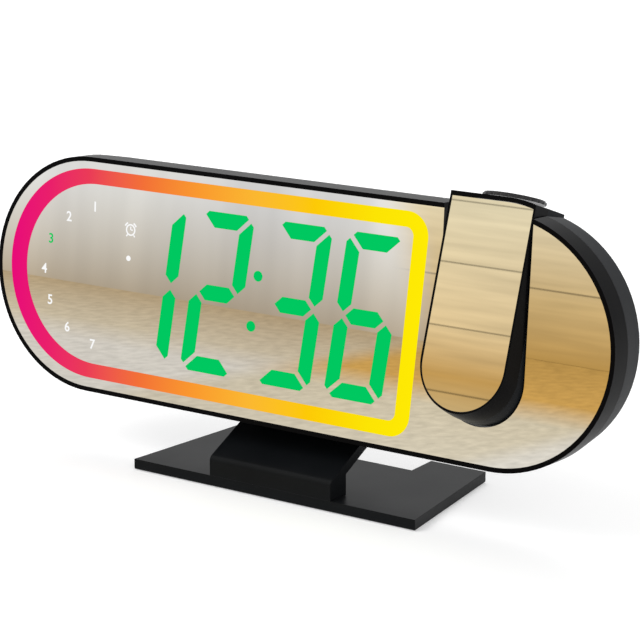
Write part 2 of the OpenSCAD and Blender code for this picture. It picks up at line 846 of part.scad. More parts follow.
module battery_holder() {
    color("#2f3133") at_face() difference() {
        rod([coin_x, 0], board_back, coin_back - holder_low,
            coin_d / 2 + fit_gap + holder_wall, $fn = 96);
        rod([coin_x, 0], board_back - 1, body_t, coin_d / 2 + fit_gap, $fn = 96);
        contact_slot(fit_gap);
    }
}

module battery_contacts() {
    color("#cfd2d6") at_face() {
        rod([coin_x, 0], board_back, board_back + contact_t, contact_r);
        contact_slot(0);
    }
}

module coin_cell() {
    color("#c3c6ca") at_face() {
        rod([coin_x, 0], board_back + contact_t, coin_back, coin_d / 2 - coin_step, $fn = 96);
        rod([coin_x, 0], board_back + contact_t + coin_step, coin_back, coin_d / 2, $fn = 96);
    }
}

// One of the three lugs of the battery door, at angle a
module door_tab(a, grow, y0, y1) {
    translate([coin_x, 0, 0]) rotate([0, -a, 0])
        translate([door_d / 2 - tab_in, y0, -tab_w / 2 - grow])
            cube([tab_in + tab_out + grow, y1 - y0, tab_w + 2 * grow]);
}

module battery_door() {
    color(satin) at_face() difference() {
        union() {
            rod([coin_x, 0], flange_y - tab_t / 2, body_t, door_d / 2, $fn = 96);
            intersection() {
                for (a = [0:120:240]) door_tab(a, 0, flange_y - tab_t, flange_y);
                rod([coin_x, 0], flange_y - tab_t, flange_y, door_d / 2 + tab_out, $fn = 96);
            }
        }
        translate([coin_x, body_t, 0])
            cube([door_d * coin_slot_share, back_wall, coin_slot_w], center = true);
    }
}

module usb_c_port() {
    color("#b9bcc0") at_face() {
        difference() {
            slab(board_back, body_t) translate([usb_x, usb_z]) stadium(usb_w, usb_h);
            slab(board_back + usb_floor, body_t + 1) translate([usb_x, usb_z])
                stadium(usb_w - 2 * usb_shell, usb_h - 2 * usb_shell);
        }
        slab(board_back + usb_floor - eps, body_t - 2 * usb_shell) translate([usb_x, usb_z])
            square([usb_w - usb_h + tongue_t, tongue_t], center = true);
    }
}

module buzzer() {
    color("#0e0f10") at_face() difference() {
        rod([buzzer_x, buzzer_z], board_back, board_back + buzzer_t, buzzer_d / 2);
        rod([buzzer_x, buzzer_z], board_back + buzzer_t - buzzer_port_d, body_t, buzzer_port_r);
    }
}

module button_switches() {
    color("#3a3d40") at_face() for (i = [0:buttons - 1]) difference() {
        translate([button_at(i)[0] - switch_w / 2, board_back, button_z - switch_w / 2])
            cube([switch_w, switch_t, switch_w]);
        rod(button_at(i), board_back + switch_floor, body_t, stem_r + fit_gap, $fn = 32);
    }
}

// Cap, flange inside the back wall, and stem down into its switch
module push_button(i) {
    stem_end = board_back + switch_floor + button_travel + fit_gap;
    color("#303235") at_face() {
        rod(button_at(i), flange_y - eps, body_t + button_out, button_d / 2, $fn = 48);
        rod(button_at(i), flange_y - flange_t, flange_y, button_d / 2 + flange_out, $fn = 48);
        rod(button_at(i), stem_end, flange_y - flange_t + eps, stem_r, $fn = 32);
    }
}

module mode_button() push_button(0);
module set_button() push_button(1);
module up_button() push_button(2);
module down_button() push_button(3);
module alarm_button() push_button(4);
module projector_button() push_button(5);

// ---- hinge ----

// A bar on the hinge axis, on side s, from x0 to x1 beside the arm's middle
module hinge_bar(s, x0, x1, r) {
    translate([arm_x, hinge_y, hinge_z]) rotate([0, s * 90, 0]) translate([0, 0, x0])
        cylinder(h = x1 - x0, r = r, $fn = 48);
}

module hinge_bushes() {
    color("#d9c27a") at_face() for (s = [-1, 1]) difference() {
        hinge_bar(s, notch_r, notch_r + pin_out, bush_r);
        hinge_bar(s, notch_r - 1, notch_r + pin_out + 1, pin_d / 2 + run_gap);
    }
}

module hinge_pins() {
    color("#a9adb2") at_arm() for (s = [-1, 1])
        hinge_bar(s, arm_w / 2 - pin_in, notch_r + pin_out - fit_gap, pin_d / 2);
}

// Each washer sits in the arm's side and reaches half way across the gap
module friction_washers() {
    out = (arm_w + arm_gap) / 2;
    color("#8f9499") at_arm() for (s = [-1, 1]) difference() {
        hinge_bar(s, out - washer_t, out, bush_r);
        hinge_bar(s, out - washer_t - 1, out + 1, pin_d / 2 + run_gap);
    }
}

// ---- projector arm ----

module arm_bosses(y0, y1, r) {
    for (z = arm_screw_z) rod([arm_x, z], y0, y1, r, $fn = 32);
}

// The focus ring's bore through the arm's top wall
module ring_bore() {
    upright(arm_top - top_wall - edge_drop(lens_x + bore_r, top_wall) - fit_gap, arm_top + 1,
        bore_r);
}

module arm_shell() {
    color(black) at_arm() difference() {
        union() {
            difference() {
                arm_form(0, frame_t, 0, 0);
                slab(-1, mirror_back) arm_view(arm_rim, rim);
                arm_form(arm_front, frame_t + 1, arm_wall, top_wall);
            }
            arm_bosses(arm_front - eps, frame_t, boss_r);
        }
        arm_bosses(arm_front + fit_gap, frame_t + 1, screw_d / 2);
        ring_bore();
    }
}

module arm_cover() {
    out = (arm_w + arm_gap) / 2;
    color(black) at_arm() difference() {
        intersection() {
            union() {
                difference() {
                    arm_form(frame_t, body_t, 0, 0);
                    arm_form(frame_t - 1, back_y, arm_wall, top_wall);
                }
                arm_bosses(frame_t, body_t, boss_r);
                for (s = [-1, 1]) translate([arm_x + s * (arm_w - pin_in) / 2, hinge_y, hinge_z])
                    cube([pin_in, 2 * block_r, 2 * block_r], center = true);
            }
            slab(frame_t, body_t) outline(0);
        }
        for (s = [-1, 1]) {
            hinge_bar(s, arm_w / 2 - pin_in - block_end, arm_w, pin_d / 2);
            hinge_bar(s, out - washer_t, arm_w, bush_r + fit_gap);
        }
        arm_bosses(0, body_t + 1, screw_d / 2 + fit_gap);
        arm_bosses(head_seat, body_t + 1, head_d / 2 + fit_gap);
        ring_bore();
    }
}

module arm_mirror() {
    color("#c9ccd0") at_arm() slab(mirror_set, mirror_back)
        arm_view(arm_rim + fit_gap, rim + fit_gap);
}

module arm_screws() {
    color("silver") at_arm() for (z = arm_screw_z)
        pan_screw([arm_x, z], head_seat, arm_front + 2 * fit_gap);
}

// ---- projector, inside the arm ----

// A bar on the lens axis
module upright(z0, z1, r) {
    translate([lens_x, lens_y, z0]) cylinder(h = z1 - z0, r = r);
}

// A square bar on the lens axis
module box(side, z0, z1) {
    translate([lens_x - side / 2, lens_y - side / 2, z0]) cube([side, side, z1 - z0]);
}

// A plate across the arm's hollow, from depth y0 to y1
module across(y0, y1, z0, z1) {
    w = arm_w - 2 * tunnel_side;
    translate([arm_x - w / 2, y0, z0]) cube([w, y1 - y0, z1 - z0]);
}

// The tunnel holds the lamp, the condenser, the panel and the barrel in line
module tunnel_half(y0, y1) {
    color("#26282a") at_arm() difference() {
        across(y0, y1, tunnel_low, tunnel_top);
        upright(panel_z + panel_t + panel_lip, tunnel_top + 1, barrel_d / 2 + run_gap);
        upright(tunnel_low + chamber_h, tunnel_top, light_r);
        box(panel_w + 2 * fit_gap, panel_z - fit_gap, panel_z + panel_t + fit_gap);
        upright(condenser_z - fit_gap, condenser_z + condenser_t + fit_gap,
            condenser_d / 2 + fit_gap);
        box(chamber_w, tunnel_low - 1, tunnel_low + chamber_h);
    }
}

module tunnel_front() tunnel_half(arm_front + fit_gap, lens_y - fit_gap / 2);
module tunnel_back() tunnel_half(lens_y + fit_gap / 2, back_y - fit_gap);

module projector_panel() {
    color("#30353a") at_arm() box(panel_w, panel_z, panel_z + panel_t);
}

module condenser_lens() {
    color("#dfe8ee") at_arm() upright(condenser_z, condenser_z + condenser_t, condenser_d / 2);
}

module projector_board() {
    color(board_green) at_arm() across(arm_front + fit_gap, back_y - fit_gap,
        tunnel_low - board_t, tunnel_low);
}

module projector_led() {
    color("#ff5a28") at_arm() {
        box(lamp_w, tunnel_low, tunnel_low + lamp_t);
        upright(tunnel_low + lamp_t - eps, tunnel_low + 2 * lamp_t, lamp_lens_r);
    }
}

module lens_barrel() {
    r = barrel_d / 2;
    color("#1d1f21") at_arm() difference() {
        upright(barrel_low, barrel_top, r);
        upright(barrel_low - 1, barrel_top, r - barrel_wall - lens_seat);
        upright(lens_low, barrel_top + 1, r - barrel_wall);
    }
}

// A lens with a flat lower side and a round upper side
module projector_lens() {
    r = barrel_d / 2 - barrel_wall - run_gap;
    rise = lens_t * bulge_share;
    ball = (r * r + rise * rise) / 2 / rise;
    color("#cfe3ee") at_arm() intersection() {
        upright(lens_low, lens_low + lens_t + 1, r);
        translate([lens_x, lens_y, lens_low + lens_t - ball]) sphere(r = ball, $fn = 96);
    }
}

module focus_ring() {
    color("#151617") at_arm() difference() {
        union() {
            upright(ring_z, ring_z + ring_h - ring_chamfer, ring_d / 2);
            upright(ring_z, ring_z + ring_h, ring_d / 2 - ring_chamfer);
            upright(collar_low, ring_z + eps, collar_r);
        }
        upright(collar_low - 1, ring_z + ring_h + 1, barrel_d / 2 + run_gap);
        for (i = [0:grips - 1]) translate([lens_x, lens_y, ring_z - 1]) rotate(360 / grips * i)
            translate([ring_d / 2 + grip_d / 4, 0, 0])
                cylinder(h = ring_h + 2, r = grip_d / 2, $fn = 24);
    }
}

// A clip on the collar that keeps the focus ring in the arm's top wall
module ring_retainer() {
    color("#9a9ea3") at_arm() difference() {
        upright(retainer_z - retainer_t, retainer_z, collar_r + retainer_w);
        upright(retainer_z - retainer_t - 1, retainer_z + 1, collar_r);
    }
}

base_plate();
base_weight();
base_mat();
base_screws();
neck();
neck_screws();
front_frame();
rear_cover();
case_screws();
mirror_panel();
display_chassis();
band_light_guide();
segment_light_pipes();
mark_light_pipes();
display_board();
segment_leds();
band_leds();
controller_chips();
battery_holder();
battery_contacts();
coin_cell();
usb_c_port();
buzzer();
button_switches();
battery_door();
mode_button();
set_button();
up_button();
down_button();
alarm_button();
projector_button();
hinge_bushes();
hinge_pins();
friction_washers();
arm_shell();
arm_cover();
arm_mirror();
arm_screws();
tunnel_front();
tunnel_back();
projector_panel();
condenser_lens();
projector_led();
projector_board();
lens_barrel();
projector_lens();
focus_ring();
ring_retainer();
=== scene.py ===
"""Looks of a projection alarm clock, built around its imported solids. Every length is in metres."""

from __future__ import annotations

import logging
import math
from dataclasses import dataclass
from enum import Enum
from functools import cached_property
from typing import ClassVar, Iterable, Sequence

import bmesh
import bpy
from mathutils import Matrix, Vector


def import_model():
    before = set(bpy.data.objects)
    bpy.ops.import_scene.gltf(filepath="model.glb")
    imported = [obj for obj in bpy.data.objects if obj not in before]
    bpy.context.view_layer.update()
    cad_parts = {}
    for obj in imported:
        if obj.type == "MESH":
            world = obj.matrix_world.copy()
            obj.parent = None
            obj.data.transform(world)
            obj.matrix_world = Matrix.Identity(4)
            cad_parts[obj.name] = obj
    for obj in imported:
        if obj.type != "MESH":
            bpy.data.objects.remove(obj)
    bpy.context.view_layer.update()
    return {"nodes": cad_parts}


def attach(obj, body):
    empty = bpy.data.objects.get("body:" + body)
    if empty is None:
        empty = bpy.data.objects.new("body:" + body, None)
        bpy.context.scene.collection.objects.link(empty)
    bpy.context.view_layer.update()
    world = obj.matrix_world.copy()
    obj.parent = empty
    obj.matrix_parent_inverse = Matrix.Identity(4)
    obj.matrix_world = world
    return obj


MM = 0.001
LOG = logging.getLogger("clock")
# Corners that lie closer than this are one corner
WELD = 0.001 * MM
# A noise lies mostly between these values, which a finish spreads over its own range
NOISE_LOW, NOISE_HIGH = 0.3, 0.7
# Rays that the shading of rounded edges takes
EDGE_SAMPLES = 6
# Sides of a round dot, which is drawn often
DOT_SIDES = 32

Color = tuple[float, float, float, float]
Point = tuple[float, float]
Stops = tuple[tuple[float, str], ...]


class Body(Enum):
    """The rigid bodies that the added pieces ride on, besides those of the push buttons."""

    CLOCK = "clock_body"
    RING = "focus_ring_body"
    DOOR = "battery_door_body"


class Slot(Enum):
    """Names of material slots. The builders of the added pieces take one, but none of them uses it."""

    CASE_REAR = "case_rear"
    BUTTON = "button_plastic"
    RING = "ring_plastic"
    BAND = "band_acrylic"
    GREEN = "green_acrylic"
    CLEAR = "clear_acrylic"


class Button(Enum):
    """The push buttons on the back, in their order along x."""

    MODE = "mode_button"
    SET = "set_button"
    UP = "up_button"
    DOWN = "down_button"
    ALARM = "alarm_button"
    PROJECTOR = "projector_button"


class Bar(Enum):
    """The seven bars of a digit."""

    TOP = "top"
    MIDDLE = "middle"
    BOTTOM = "bottom"
    UPPER_LEFT = "upper_left"
    UPPER_RIGHT = "upper_right"
    LOWER_LEFT = "lower_left"
    LOWER_RIGHT = "lower_right"


BARS_OF = {
    "1": (Bar.UPPER_RIGHT, Bar.LOWER_RIGHT),
    "2": (Bar.TOP, Bar.UPPER_RIGHT, Bar.MIDDLE, Bar.LOWER_LEFT, Bar.BOTTOM),
    "3": (Bar.TOP, Bar.UPPER_RIGHT, Bar.MIDDLE, Bar.LOWER_RIGHT, Bar.BOTTOM),
    "6": (Bar.TOP, Bar.UPPER_LEFT, Bar.MIDDLE, Bar.LOWER_LEFT, Bar.LOWER_RIGHT, Bar.BOTTOM),
}


# ---------------------------------------------------------------- nodes and colours


def linear(code: str) -> Color:
    """Turns an sRGB hex colour to linear light.

    Args:
        code: The colour, such as "#1b1c1e".

    Returns:
        Red, green, blue and an alpha of 1.
    """
    parts = [int(code[i : i + 2], 16) / 255 for i in (1, 3, 5)]
    turned = [c / 12.92 if c <= 0.04045 else ((c + 0.055) / 1.055) ** 2.4 for c in parts]
    return (turned[0], turned[1], turned[2], 1.0)


def add_node(
    tree: bpy.types.NodeTree,
    kind: str,
    sockets: dict | Sequence = (),
    settings: dict | None = None,
    stops: Stops = (),
) -> bpy.types.Node:
    """Adds a node with its settings, its socket values and its links.

    Args:
        tree: The node tree.
        kind: The node's type name.
        sockets: Values or output sockets for its inputs, by name or index, or in the inputs' order.
        settings: Properties of the node by name.
        stops: Places from 0 to 1 with their sRGB hex colours, where the node is a colour ramp.

    Returns:
        The new node.
    """
    node = tree.nodes.new(kind)
    for name, value in (settings or {}).items():
        setattr(node, name, value)
    for key, value in sockets.items() if isinstance(sockets, dict) else enumerate(sockets):
        if isinstance(value, bpy.types.NodeSocket):
            tree.links.new(value, node.inputs[key])
        else:
            node.inputs[key].default_value = value
    if stops:
        elements = node.color_ramp.elements
        while len(elements) < len(stops):
            elements.new(0.5)
        for element, (place, code) in zip(elements, stops):
            element.position = place
            element.color = linear(code)
    return node


def new_material(name: str) -> tuple[bpy.types.Material, bpy.types.NodeTree]:
    """Makes an empty node material.

    Args:
        name: The material's name.

    Returns:
        The material and its node tree.
    """
    material = bpy.data.materials.new(name)
    material.use_nodes = True
    material.node_tree.nodes.clear()
    return material, material.node_tree


def pattern(
    tree: bpy.types.NodeTree, size: float, detail: float = 2.0, stretch: Sequence[float] = (1, 1, 1)
) -> bpy.types.NodeSocket:
    """Adds an uneven pattern on the object's own coordinates.

    Args:
        tree: The material's node tree.
        size: Distance across one of its blots.
        detail: Octaves of finer unevenness.
        stretch: Factor along each axis, below 1 where the pattern is drawn out.

    Returns:
        The socket that carries a value from 0 to 1.
    """
    own = add_node(tree, "ShaderNodeTexCoord").outputs["Object"]
    place = add_node(tree, "ShaderNodeMapping", {"Vector": own, "Scale": stretch}).outputs[0]
    sockets = {"Vector": place, "Scale": 1 / size, "Detail": detail}
    return add_node(tree, "ShaderNodeTexNoise", sockets).outputs[0]


def relief(
    tree: bpy.types.NodeTree, height: bpy.types.NodeSocket, depth: float, edge: float
) -> bpy.types.NodeSocket:
    """Adds edges that look rounded, which gives them their fine line of light, and a relief on them.

    Args:
        tree: The material's node tree.
        height: The relief, from 0 to 1.
        depth: How deep it is.
        edge: Radius of the rounded edges.

    Returns:
        The socket that carries the normal.
    """
    rounded = add_node(tree, "ShaderNodeBevel", {"Radius": edge}, {"samples": EDGE_SAMPLES}).outputs[0]
    sockets = {"Strength": 1.0, "Distance": depth, "Height": height, "Normal": rounded}
    return add_node(tree, "ShaderNodeBump", sockets).outputs[0]


def finish_surface(tree: bpy.types.NodeTree, sockets: dict) -> None:
    """Adds the surface shader and the output.

    Args:
        tree: The material's node tree.
        sockets: The shader's values and links by name.
    """
    shader = add_node(tree, "ShaderNodeBsdfPrincipled", sockets)
    add_node(tree, "ShaderNodeOutputMaterial", {"Surface": shader.outputs[0]})


def seen_strength(tree: bpy.types.NodeTree) -> bpy.types.NodeSocket:
    """Tells the rays by which something is seen from those by which it lights the clock.

    Args:
        tree: The node tree of a material or of the world.

    Returns:
        The socket that is 1 for what the camera, a reflection or a glass sees, and else 0.
    """
    path = add_node(tree, "ShaderNodeLightPath").outputs
    first = add_node(
        tree, "ShaderNodeMath", (path["Is Camera Ray"], path["Is Glossy Ray"]), {"operation": "ADD"}
    )
    settings = {"operation": "ADD", "use_clamp": True}
    both = (first.outputs[0], path["Is Transmission Ray"])
    return add_node(tree, "ShaderNodeMath", both, settings).outputs[0]


# ---------------------------------------------------------------- finishes


class Finish:
    """A finish of the clock. Its material is made when it is first used, and is shared from then on."""

    name: str

    @cached_property
    def material(self) -> bpy.types.Material:
        """Makes the material with the finish's nodes.

        Returns:
            The material, which is the same each time.
        """
        material, tree = new_material(self.name)
        self.add_nodes(tree)
        return material

    def add_nodes(self, tree: bpy.types.NodeTree) -> None:
        """Adds the finish's nodes.

        Args:
            tree: The material's node tree.
        """
        raise NotImplementedError


@dataclass(frozen=True)
class Moulding(Finish):
    """Moulded plastic or rubber: an even colour, a spark-eroded grain and softly rounded edges.

    The grain of the real tool is 0.05 to 0.2 mm. It is drawn a little coarser, so that it shows.
    The specular level is low on black plastic, which would else mirror a white room as grey.
    """

    name: str
    color: str
    worn: str
    roughness: float
    grain: float = 0.35 * MM
    depth: float = 0.006 * MM
    edge: float = 0.25 * MM
    specular: float = 0.5
    ior: float = 1.53
    cloud: float = 22 * MM
    uneven: float = 0.06

    def add_nodes(self, tree: bpy.types.NodeTree) -> None:
        """Adds the grain in relief, and a cloud of patches that are a little paler and duller.

        Args:
            tree: The material's node tree.
        """
        cloud = pattern(tree, self.cloud, 3.0)
        stops = ((0.3, self.color), (0.75, self.worn))
        low, high = self.roughness * (1 - self.uneven), self.roughness * (1 + self.uneven)
        rough = add_node(tree, "ShaderNodeMapRange", (cloud, NOISE_LOW, NOISE_HIGH, low, high))
        finish_surface(tree, {
            "Base Color": add_node(tree, "ShaderNodeValToRGB", (cloud,), stops=stops).outputs[0],
            "Roughness": rough.outputs[0],
            "IOR": self.ior,
            "Specular IOR Level": self.specular,
            "Normal": relief(tree, pattern(tree, self.grain), self.depth, self.edge),
        })


@dataclass(frozen=True)
class Metal(Finish):
    """Metal, drawn or turned, with fine lines along one axis.

    The lines of the real metal are 0.01 to 0.05 mm apart. They are drawn coarser, so that they show.
    """

    name: str
    color: str
    dark: str
    roughness: float
    stretch: tuple[float, float, float] = (0.05, 1.0, 1.0)
    line: float = 0.12 * MM
    depth: float = 0.002 * MM
    edge: float = 0.1 * MM
    uneven: float = 0.2

    def add_nodes(self, tree: bpy.types.NodeTree) -> None:
        """Adds the lines, which are darker and duller where they are deep.

        Args:
            tree: The material's node tree.
        """
        lines = pattern(tree, self.line, 4.0, self.stretch)
        stops = ((0.25, self.dark), (0.7, self.color))
        low, high = self.roughness * (1 - self.uneven), self.roughness * (1 + self.uneven)
        rough = add_node(tree, "ShaderNodeMapRange", (lines, NOISE_LOW, NOISE_HIGH, low, high))
        finish_surface(tree, {
            "Base Color": add_node(tree, "ShaderNodeValToRGB", (lines,), stops=stops).outputs[0],
            "Metallic": 1.0,
            "Roughness": rough.outputs[0],
            "Normal": relief(tree, lines, self.depth, self.edge),
        })


@dataclass(frozen=True)
class MirrorFace(Finish):
    """Half-silvered acrylic: a cast sheet with a metal film, bright, flat and very faintly uneven.

    The film lies on the front alone, so the sawn edges and the back are dark and satin. The film
    begins where the object's own normal points forwards by the first value of front, and is whole
    at the second.
    """

    name: str
    color: str
    bright: str = "#eceded"
    roughness: float = 0.015
    front: Point = (-0.6, -0.8)
    edge: str = "#070708"
    edge_roughness: float = 0.4
    specular: float = 0.05
    film: float = 60 * MM
    flow: float = 45 * MM
    flow_depth: float = 0.01 * MM

    def add_nodes(self, tree: bpy.types.NodeTree) -> None:
        """Adds the film, its faint change of tint, and the slow waves of the cast sheet.

        Args:
            tree: The material's node tree.
        """
        own = add_node(tree, "ShaderNodeTexCoord").outputs["Normal"]
        forwards = add_node(tree, "ShaderNodeSeparateXYZ", (own,)).outputs["Y"]
        film = add_node(tree, "ShaderNodeMapRange", (forwards, *self.front)).outputs[0]
        stops = ((0.3, self.color), (0.8, self.bright))
        tint = add_node(tree, "ShaderNodeValToRGB", (pattern(tree, self.film, 1.0),), stops=stops)
        sockets = {0: film, 6: linear(self.edge), 7: tint.outputs[0]}
        color = add_node(tree, "ShaderNodeMix", sockets, {"data_type": "RGBA"})
        rough = add_node(tree, "ShaderNodeMapRange", (film, 0.0, 1.0, self.edge_roughness, self.roughness))
        normal = add_node(tree, "ShaderNodeNewGeometry").outputs["Normal"]
        flow = pattern(tree, self.flow, 0.0)
        sockets = {"Strength": 1.0, "Distance": self.flow_depth, "Height": flow, "Normal": normal}
        waves = add_node(tree, "ShaderNodeBump", sockets)
        finish_surface(tree, {
            "Base Color": color.outputs[2],
            "Metallic": film,
            "Roughness": rough.outputs[0],
            "Specular IOR Level": self.specular,
            "Normal": waves.outputs[0],
        })


@dataclass(frozen=True)
class Clear(Finish):
    """Glass or milky acrylic, with a glow where light leaves it."""

    name: str
    color: str
    roughness: float
    ior: float = 1.49
    transmission: float = 1.0
    glow: str = "#000000"
    strength: float = 0.0
    haze: float = 3 * MM
    uneven: float = 0.15

    def add_nodes(self, tree: bpy.types.NodeTree) -> None:
        """Adds the tinted body with its haze.

        Args:
            tree: The material's node tree.
        """
        haze = pattern(tree, self.haze)
        stops = ((0.2, self.color), (0.9, "#ffffff"))
        low, high = self.roughness * (1 - self.uneven), self.roughness * (1 + self.uneven)
        rough = add_node(tree, "ShaderNodeMapRange", (haze, NOISE_LOW, NOISE_HIGH, low, high))
        finish_surface(tree, {
            "Base Color": add_node(tree, "ShaderNodeValToRGB", (haze,), stops=stops).outputs[0],
            "Roughness": rough.outputs[0],
            "IOR": self.ior,
            "Transmission Weight": self.transmission,
            "Emission Color": linear(self.glow),
            "Emission Strength": self.strength,
        })


@dataclass(frozen=True)
class Board(Finish):
    """Glass-fibre circuit board: copper tracks seen as paler lines under green solder resist."""

    name: str
    resist: str = "#0d3d22"
    track: str = "#1d6a3c"
    track_pitch: float = 2.0 * MM
    track_edge: Point = (0.05, 0.09)
    roughness: float = 0.35
    ior: float = 1.5
    depth: float = 0.01 * MM
    edge: float = 0.1 * MM

    def add_nodes(self, tree: bpy.types.NodeTree) -> None:
        """Adds the tracks, which run between the cells of a pattern.

        Args:
            tree: The material's node tree.
        """
        own = add_node(tree, "ShaderNodeTexCoord").outputs["Object"]
        sockets = {"Vector": own, "Scale": 1 / self.track_pitch}
        settings = {"feature": "DISTANCE_TO_EDGE"}
        away = add_node(tree, "ShaderNodeTexVoronoi", sockets, settings).outputs["Distance"]
        stops = tuple(zip(self.track_edge, (self.track, self.resist)))
        finish_surface(tree, {
            "Base Color": add_node(tree, "ShaderNodeValToRGB", (away,), stops=stops).outputs[0],
            "Roughness": self.roughness,
            "IOR": self.ior,
            "Normal": relief(tree, away, self.depth, self.edge),
        })


@dataclass(frozen=True)
class Lit(Finish):
    """Light that leaves the display through the mirror. Several stops change its colour along the body."""

    name: str
    stops: Stops
    span: Point = (-100 * MM, 50 * MM)

    def add_nodes(self, tree: bpy.types.NodeTree) -> None:
        """Adds the glow, with nothing mirrored on it.

        Args:
            tree: The material's node tree.
        """
        glow = linear(self.stops[0][1])
        if len(self.stops) > 1:
            own = add_node(tree, "ShaderNodeTexCoord").outputs["Object"]
            along = add_node(tree, "ShaderNodeSeparateXYZ", (own,)).outputs["X"]
            part = add_node(tree, "ShaderNodeMapRange", (along, *self.span)).outputs[0]
            glow = add_node(tree, "ShaderNodeValToRGB", (part,), stops=self.stops).outputs[0]
        finish_surface(tree, {
            "Base Color": linear("#000000"),
            "Roughness": 0.6,
            "Specular IOR Level": 0.0,
            "Emission Color": glow,
            "Emission Strength": 1.0,
        })


# ABS with a fine satin grain, on the foot and its neck: near black, with a broad soft shine
SATIN_ABS = Moulding("satin_abs", "#0e1012", "#131517", 0.36, specular=0.06)
# ABS from a polished tool, on the front frame and the arm's shell: black with a half gloss
POLISHED_ABS = Moulding(
    "polished_abs", "#060607", "#09090b", 0.3, depth=0.003 * MM, edge=0.2 * MM, specular=0.025
)
# ABS with a visible grain, on the rear cover, the arm's back and the battery door: dark and dull
# Its base colour, paler than the polished ABS, is partly the grain's own tone and partly a painted sheen for
# the light that the angled rear band catches from the room and the floor
GRAINED_ABS = Moulding(
    "grained_abs", "#17191c", "#1d1f22", 0.42, grain=0.5 * MM, depth=0.012 * MM, specular=0.03
)
# ABS of the light traps and holders inside: black and matt, so that it swallows stray light
MATT_ABS = Moulding("matt_abs", "#0d0e0f", "#151618", 0.6, depth=0.01 * MM, specular=0.3)
# Ribbed polyamide of the focus ring: black, with a slightly greasy shine
POLYAMIDE = Moulding("glass_filled_polyamide", "#1a191b", "#222124", 0.38, depth=0.008 * MM, specular=0.3)
# Silicone rubber of the button caps: no shine, and the softest edges
SILICONE = Moulding("silicone_rubber", "#18191b", "#1f2123", 0.55, edge=0.4 * MM)
# Foamed rubber of the mat under the foot: black, with open pores
MAT_RUBBER = Moulding("foam_rubber", "#0c0c0c", "#161616", 0.85, grain=0.6 * MM, depth=0.03 * MM)
# Polystyrene filled with titanium white, of the light cells: bright and even, to throw light forwards
WHITE_STYRENE = Moulding("white_polystyrene", "#e6e7e8", "#f2f2f2", 0.5, ior=1.59)
# Cast epoxy of the chips, black and chalky, and of the lamps, yellow from their phosphor
CHIP_EPOXY = Moulding("chip_epoxy", "#141414", "#1c1c1c", 0.65, edge=0.1 * MM)
LED_EPOXY = Moulding("led_epoxy", "#e9dfa8", "#f4efd2", 0.25, edge=0.1 * MM)
# Zinc-plated steel of the screws, the weight and the cell: bright grey with drawn lines
ZINC_STEEL = Metal("zinc_plated_steel", "#b9bcc0", "#8e9296", 0.28)
# Turned steel of the hinge: a little darker and glossier, with lines round the pins
TURNED_STEEL = Metal("turned_steel", "#a6a9ad", "#7f8387", 0.22, stretch=(1.0, 0.08, 0.08))
# Sintered bronze of the bushes: brown gold, grainy and dull from its pores
SINTERED_BRONZE = Metal("sintered_bronze", "#b08a54", "#7d5f36", 0.45, stretch=(1, 1, 1), line=0.3 * MM)
# Nickel-plated brass of the battery's contacts: pale, with a warm cast
PLATED_BRASS = Metal("plated_brass", "#d5c9a0", "#b3a474", 0.25)
# Cast acrylic with a metal film, of both mirrors: it shows the room, slightly darkened
MIRROR_ACRYLIC = MirrorFace("half_silvered_acrylic", "#dcdde0")
# Milky cast acrylic of the light guides: soft, and it scatters the light that goes through
BAND_ACRYLIC = Clear("milky_acrylic_amber", "#ffb066", 0.45, transmission=0.6)
GREEN_ACRYLIC = Clear("milky_acrylic_green", "#39d98a", 0.45, transmission=0.6)
WHITE_ACRYLIC = Clear("milky_acrylic_white", "#f2f5f7", 0.45, transmission=0.6)
# Coated optical glass, and the panel with the projected digits: both glow red from the lamp below
LENS_GLASS = Clear("coated_lens_glass", "#ffe9dd", 0.03, 1.52, 0.85, "#ff5a1e", 0.55)
PANEL_GLASS = Clear("panel_glass", "#8a5a4a", 0.08, 1.52, 0.3, "#ff6a2a", 1.2)
# Green solder resist on glass fibre: half gloss, with the tracks standing out a little
SOLDER_RESIST = Board("solder_resist")
# Light behind the mirror: magenta through orange to yellow in the band, green time, white marks
BAND_LIGHT = Lit("band_light", (
    (0.0, "#e80979"), (0.1, "#ea1f6b"), (0.2, "#eb3b57"), (0.335, "#f37037"), (0.47, "#fa992f"),
    (0.6, "#fbb731"), (0.735, "#fdc907"), (0.87, "#fce404"), (1.0, "#ffec04"),
))
GREEN_LIGHT = Lit("green_light", ((0.0, "#00c860"),))
WHITE_LIGHT = Lit("white_light", ((0.0, "#fbfbfb"),))


# ---------------------------------------------------------------- geometry trees


@dataclass(frozen=True)
class Tree:
    """A geometry node tree with the identifiers of its inputs."""

    group: bpy.types.NodeTree
    inputs: dict[str, str]

    def bake(self, obj: bpy.types.Object, values: dict) -> bpy.types.Mesh:
        """Runs the tree on an object and keeps what it makes.

        Args:
            obj: The object that the tree starts from, which is removed.
            values: Values of the tree's inputs by name.

        Returns:
            The plain mesh.
        """
        modifier = obj.modifiers.new(self.group.name, "NODES")
        modifier.node_group = self.group
        for name, value in values.items():
            modifier[self.inputs[name]] = value
        graph = bpy.context.evaluated_depsgraph_get()
        graph.update()
        evaluated = obj.evaluated_get(graph)
        mesh = bpy.data.meshes.new_from_object(evaluated, depsgraph=graph)
        obj.modifiers.remove(modifier)
        bpy.data.objects.remove(obj)
        return mesh


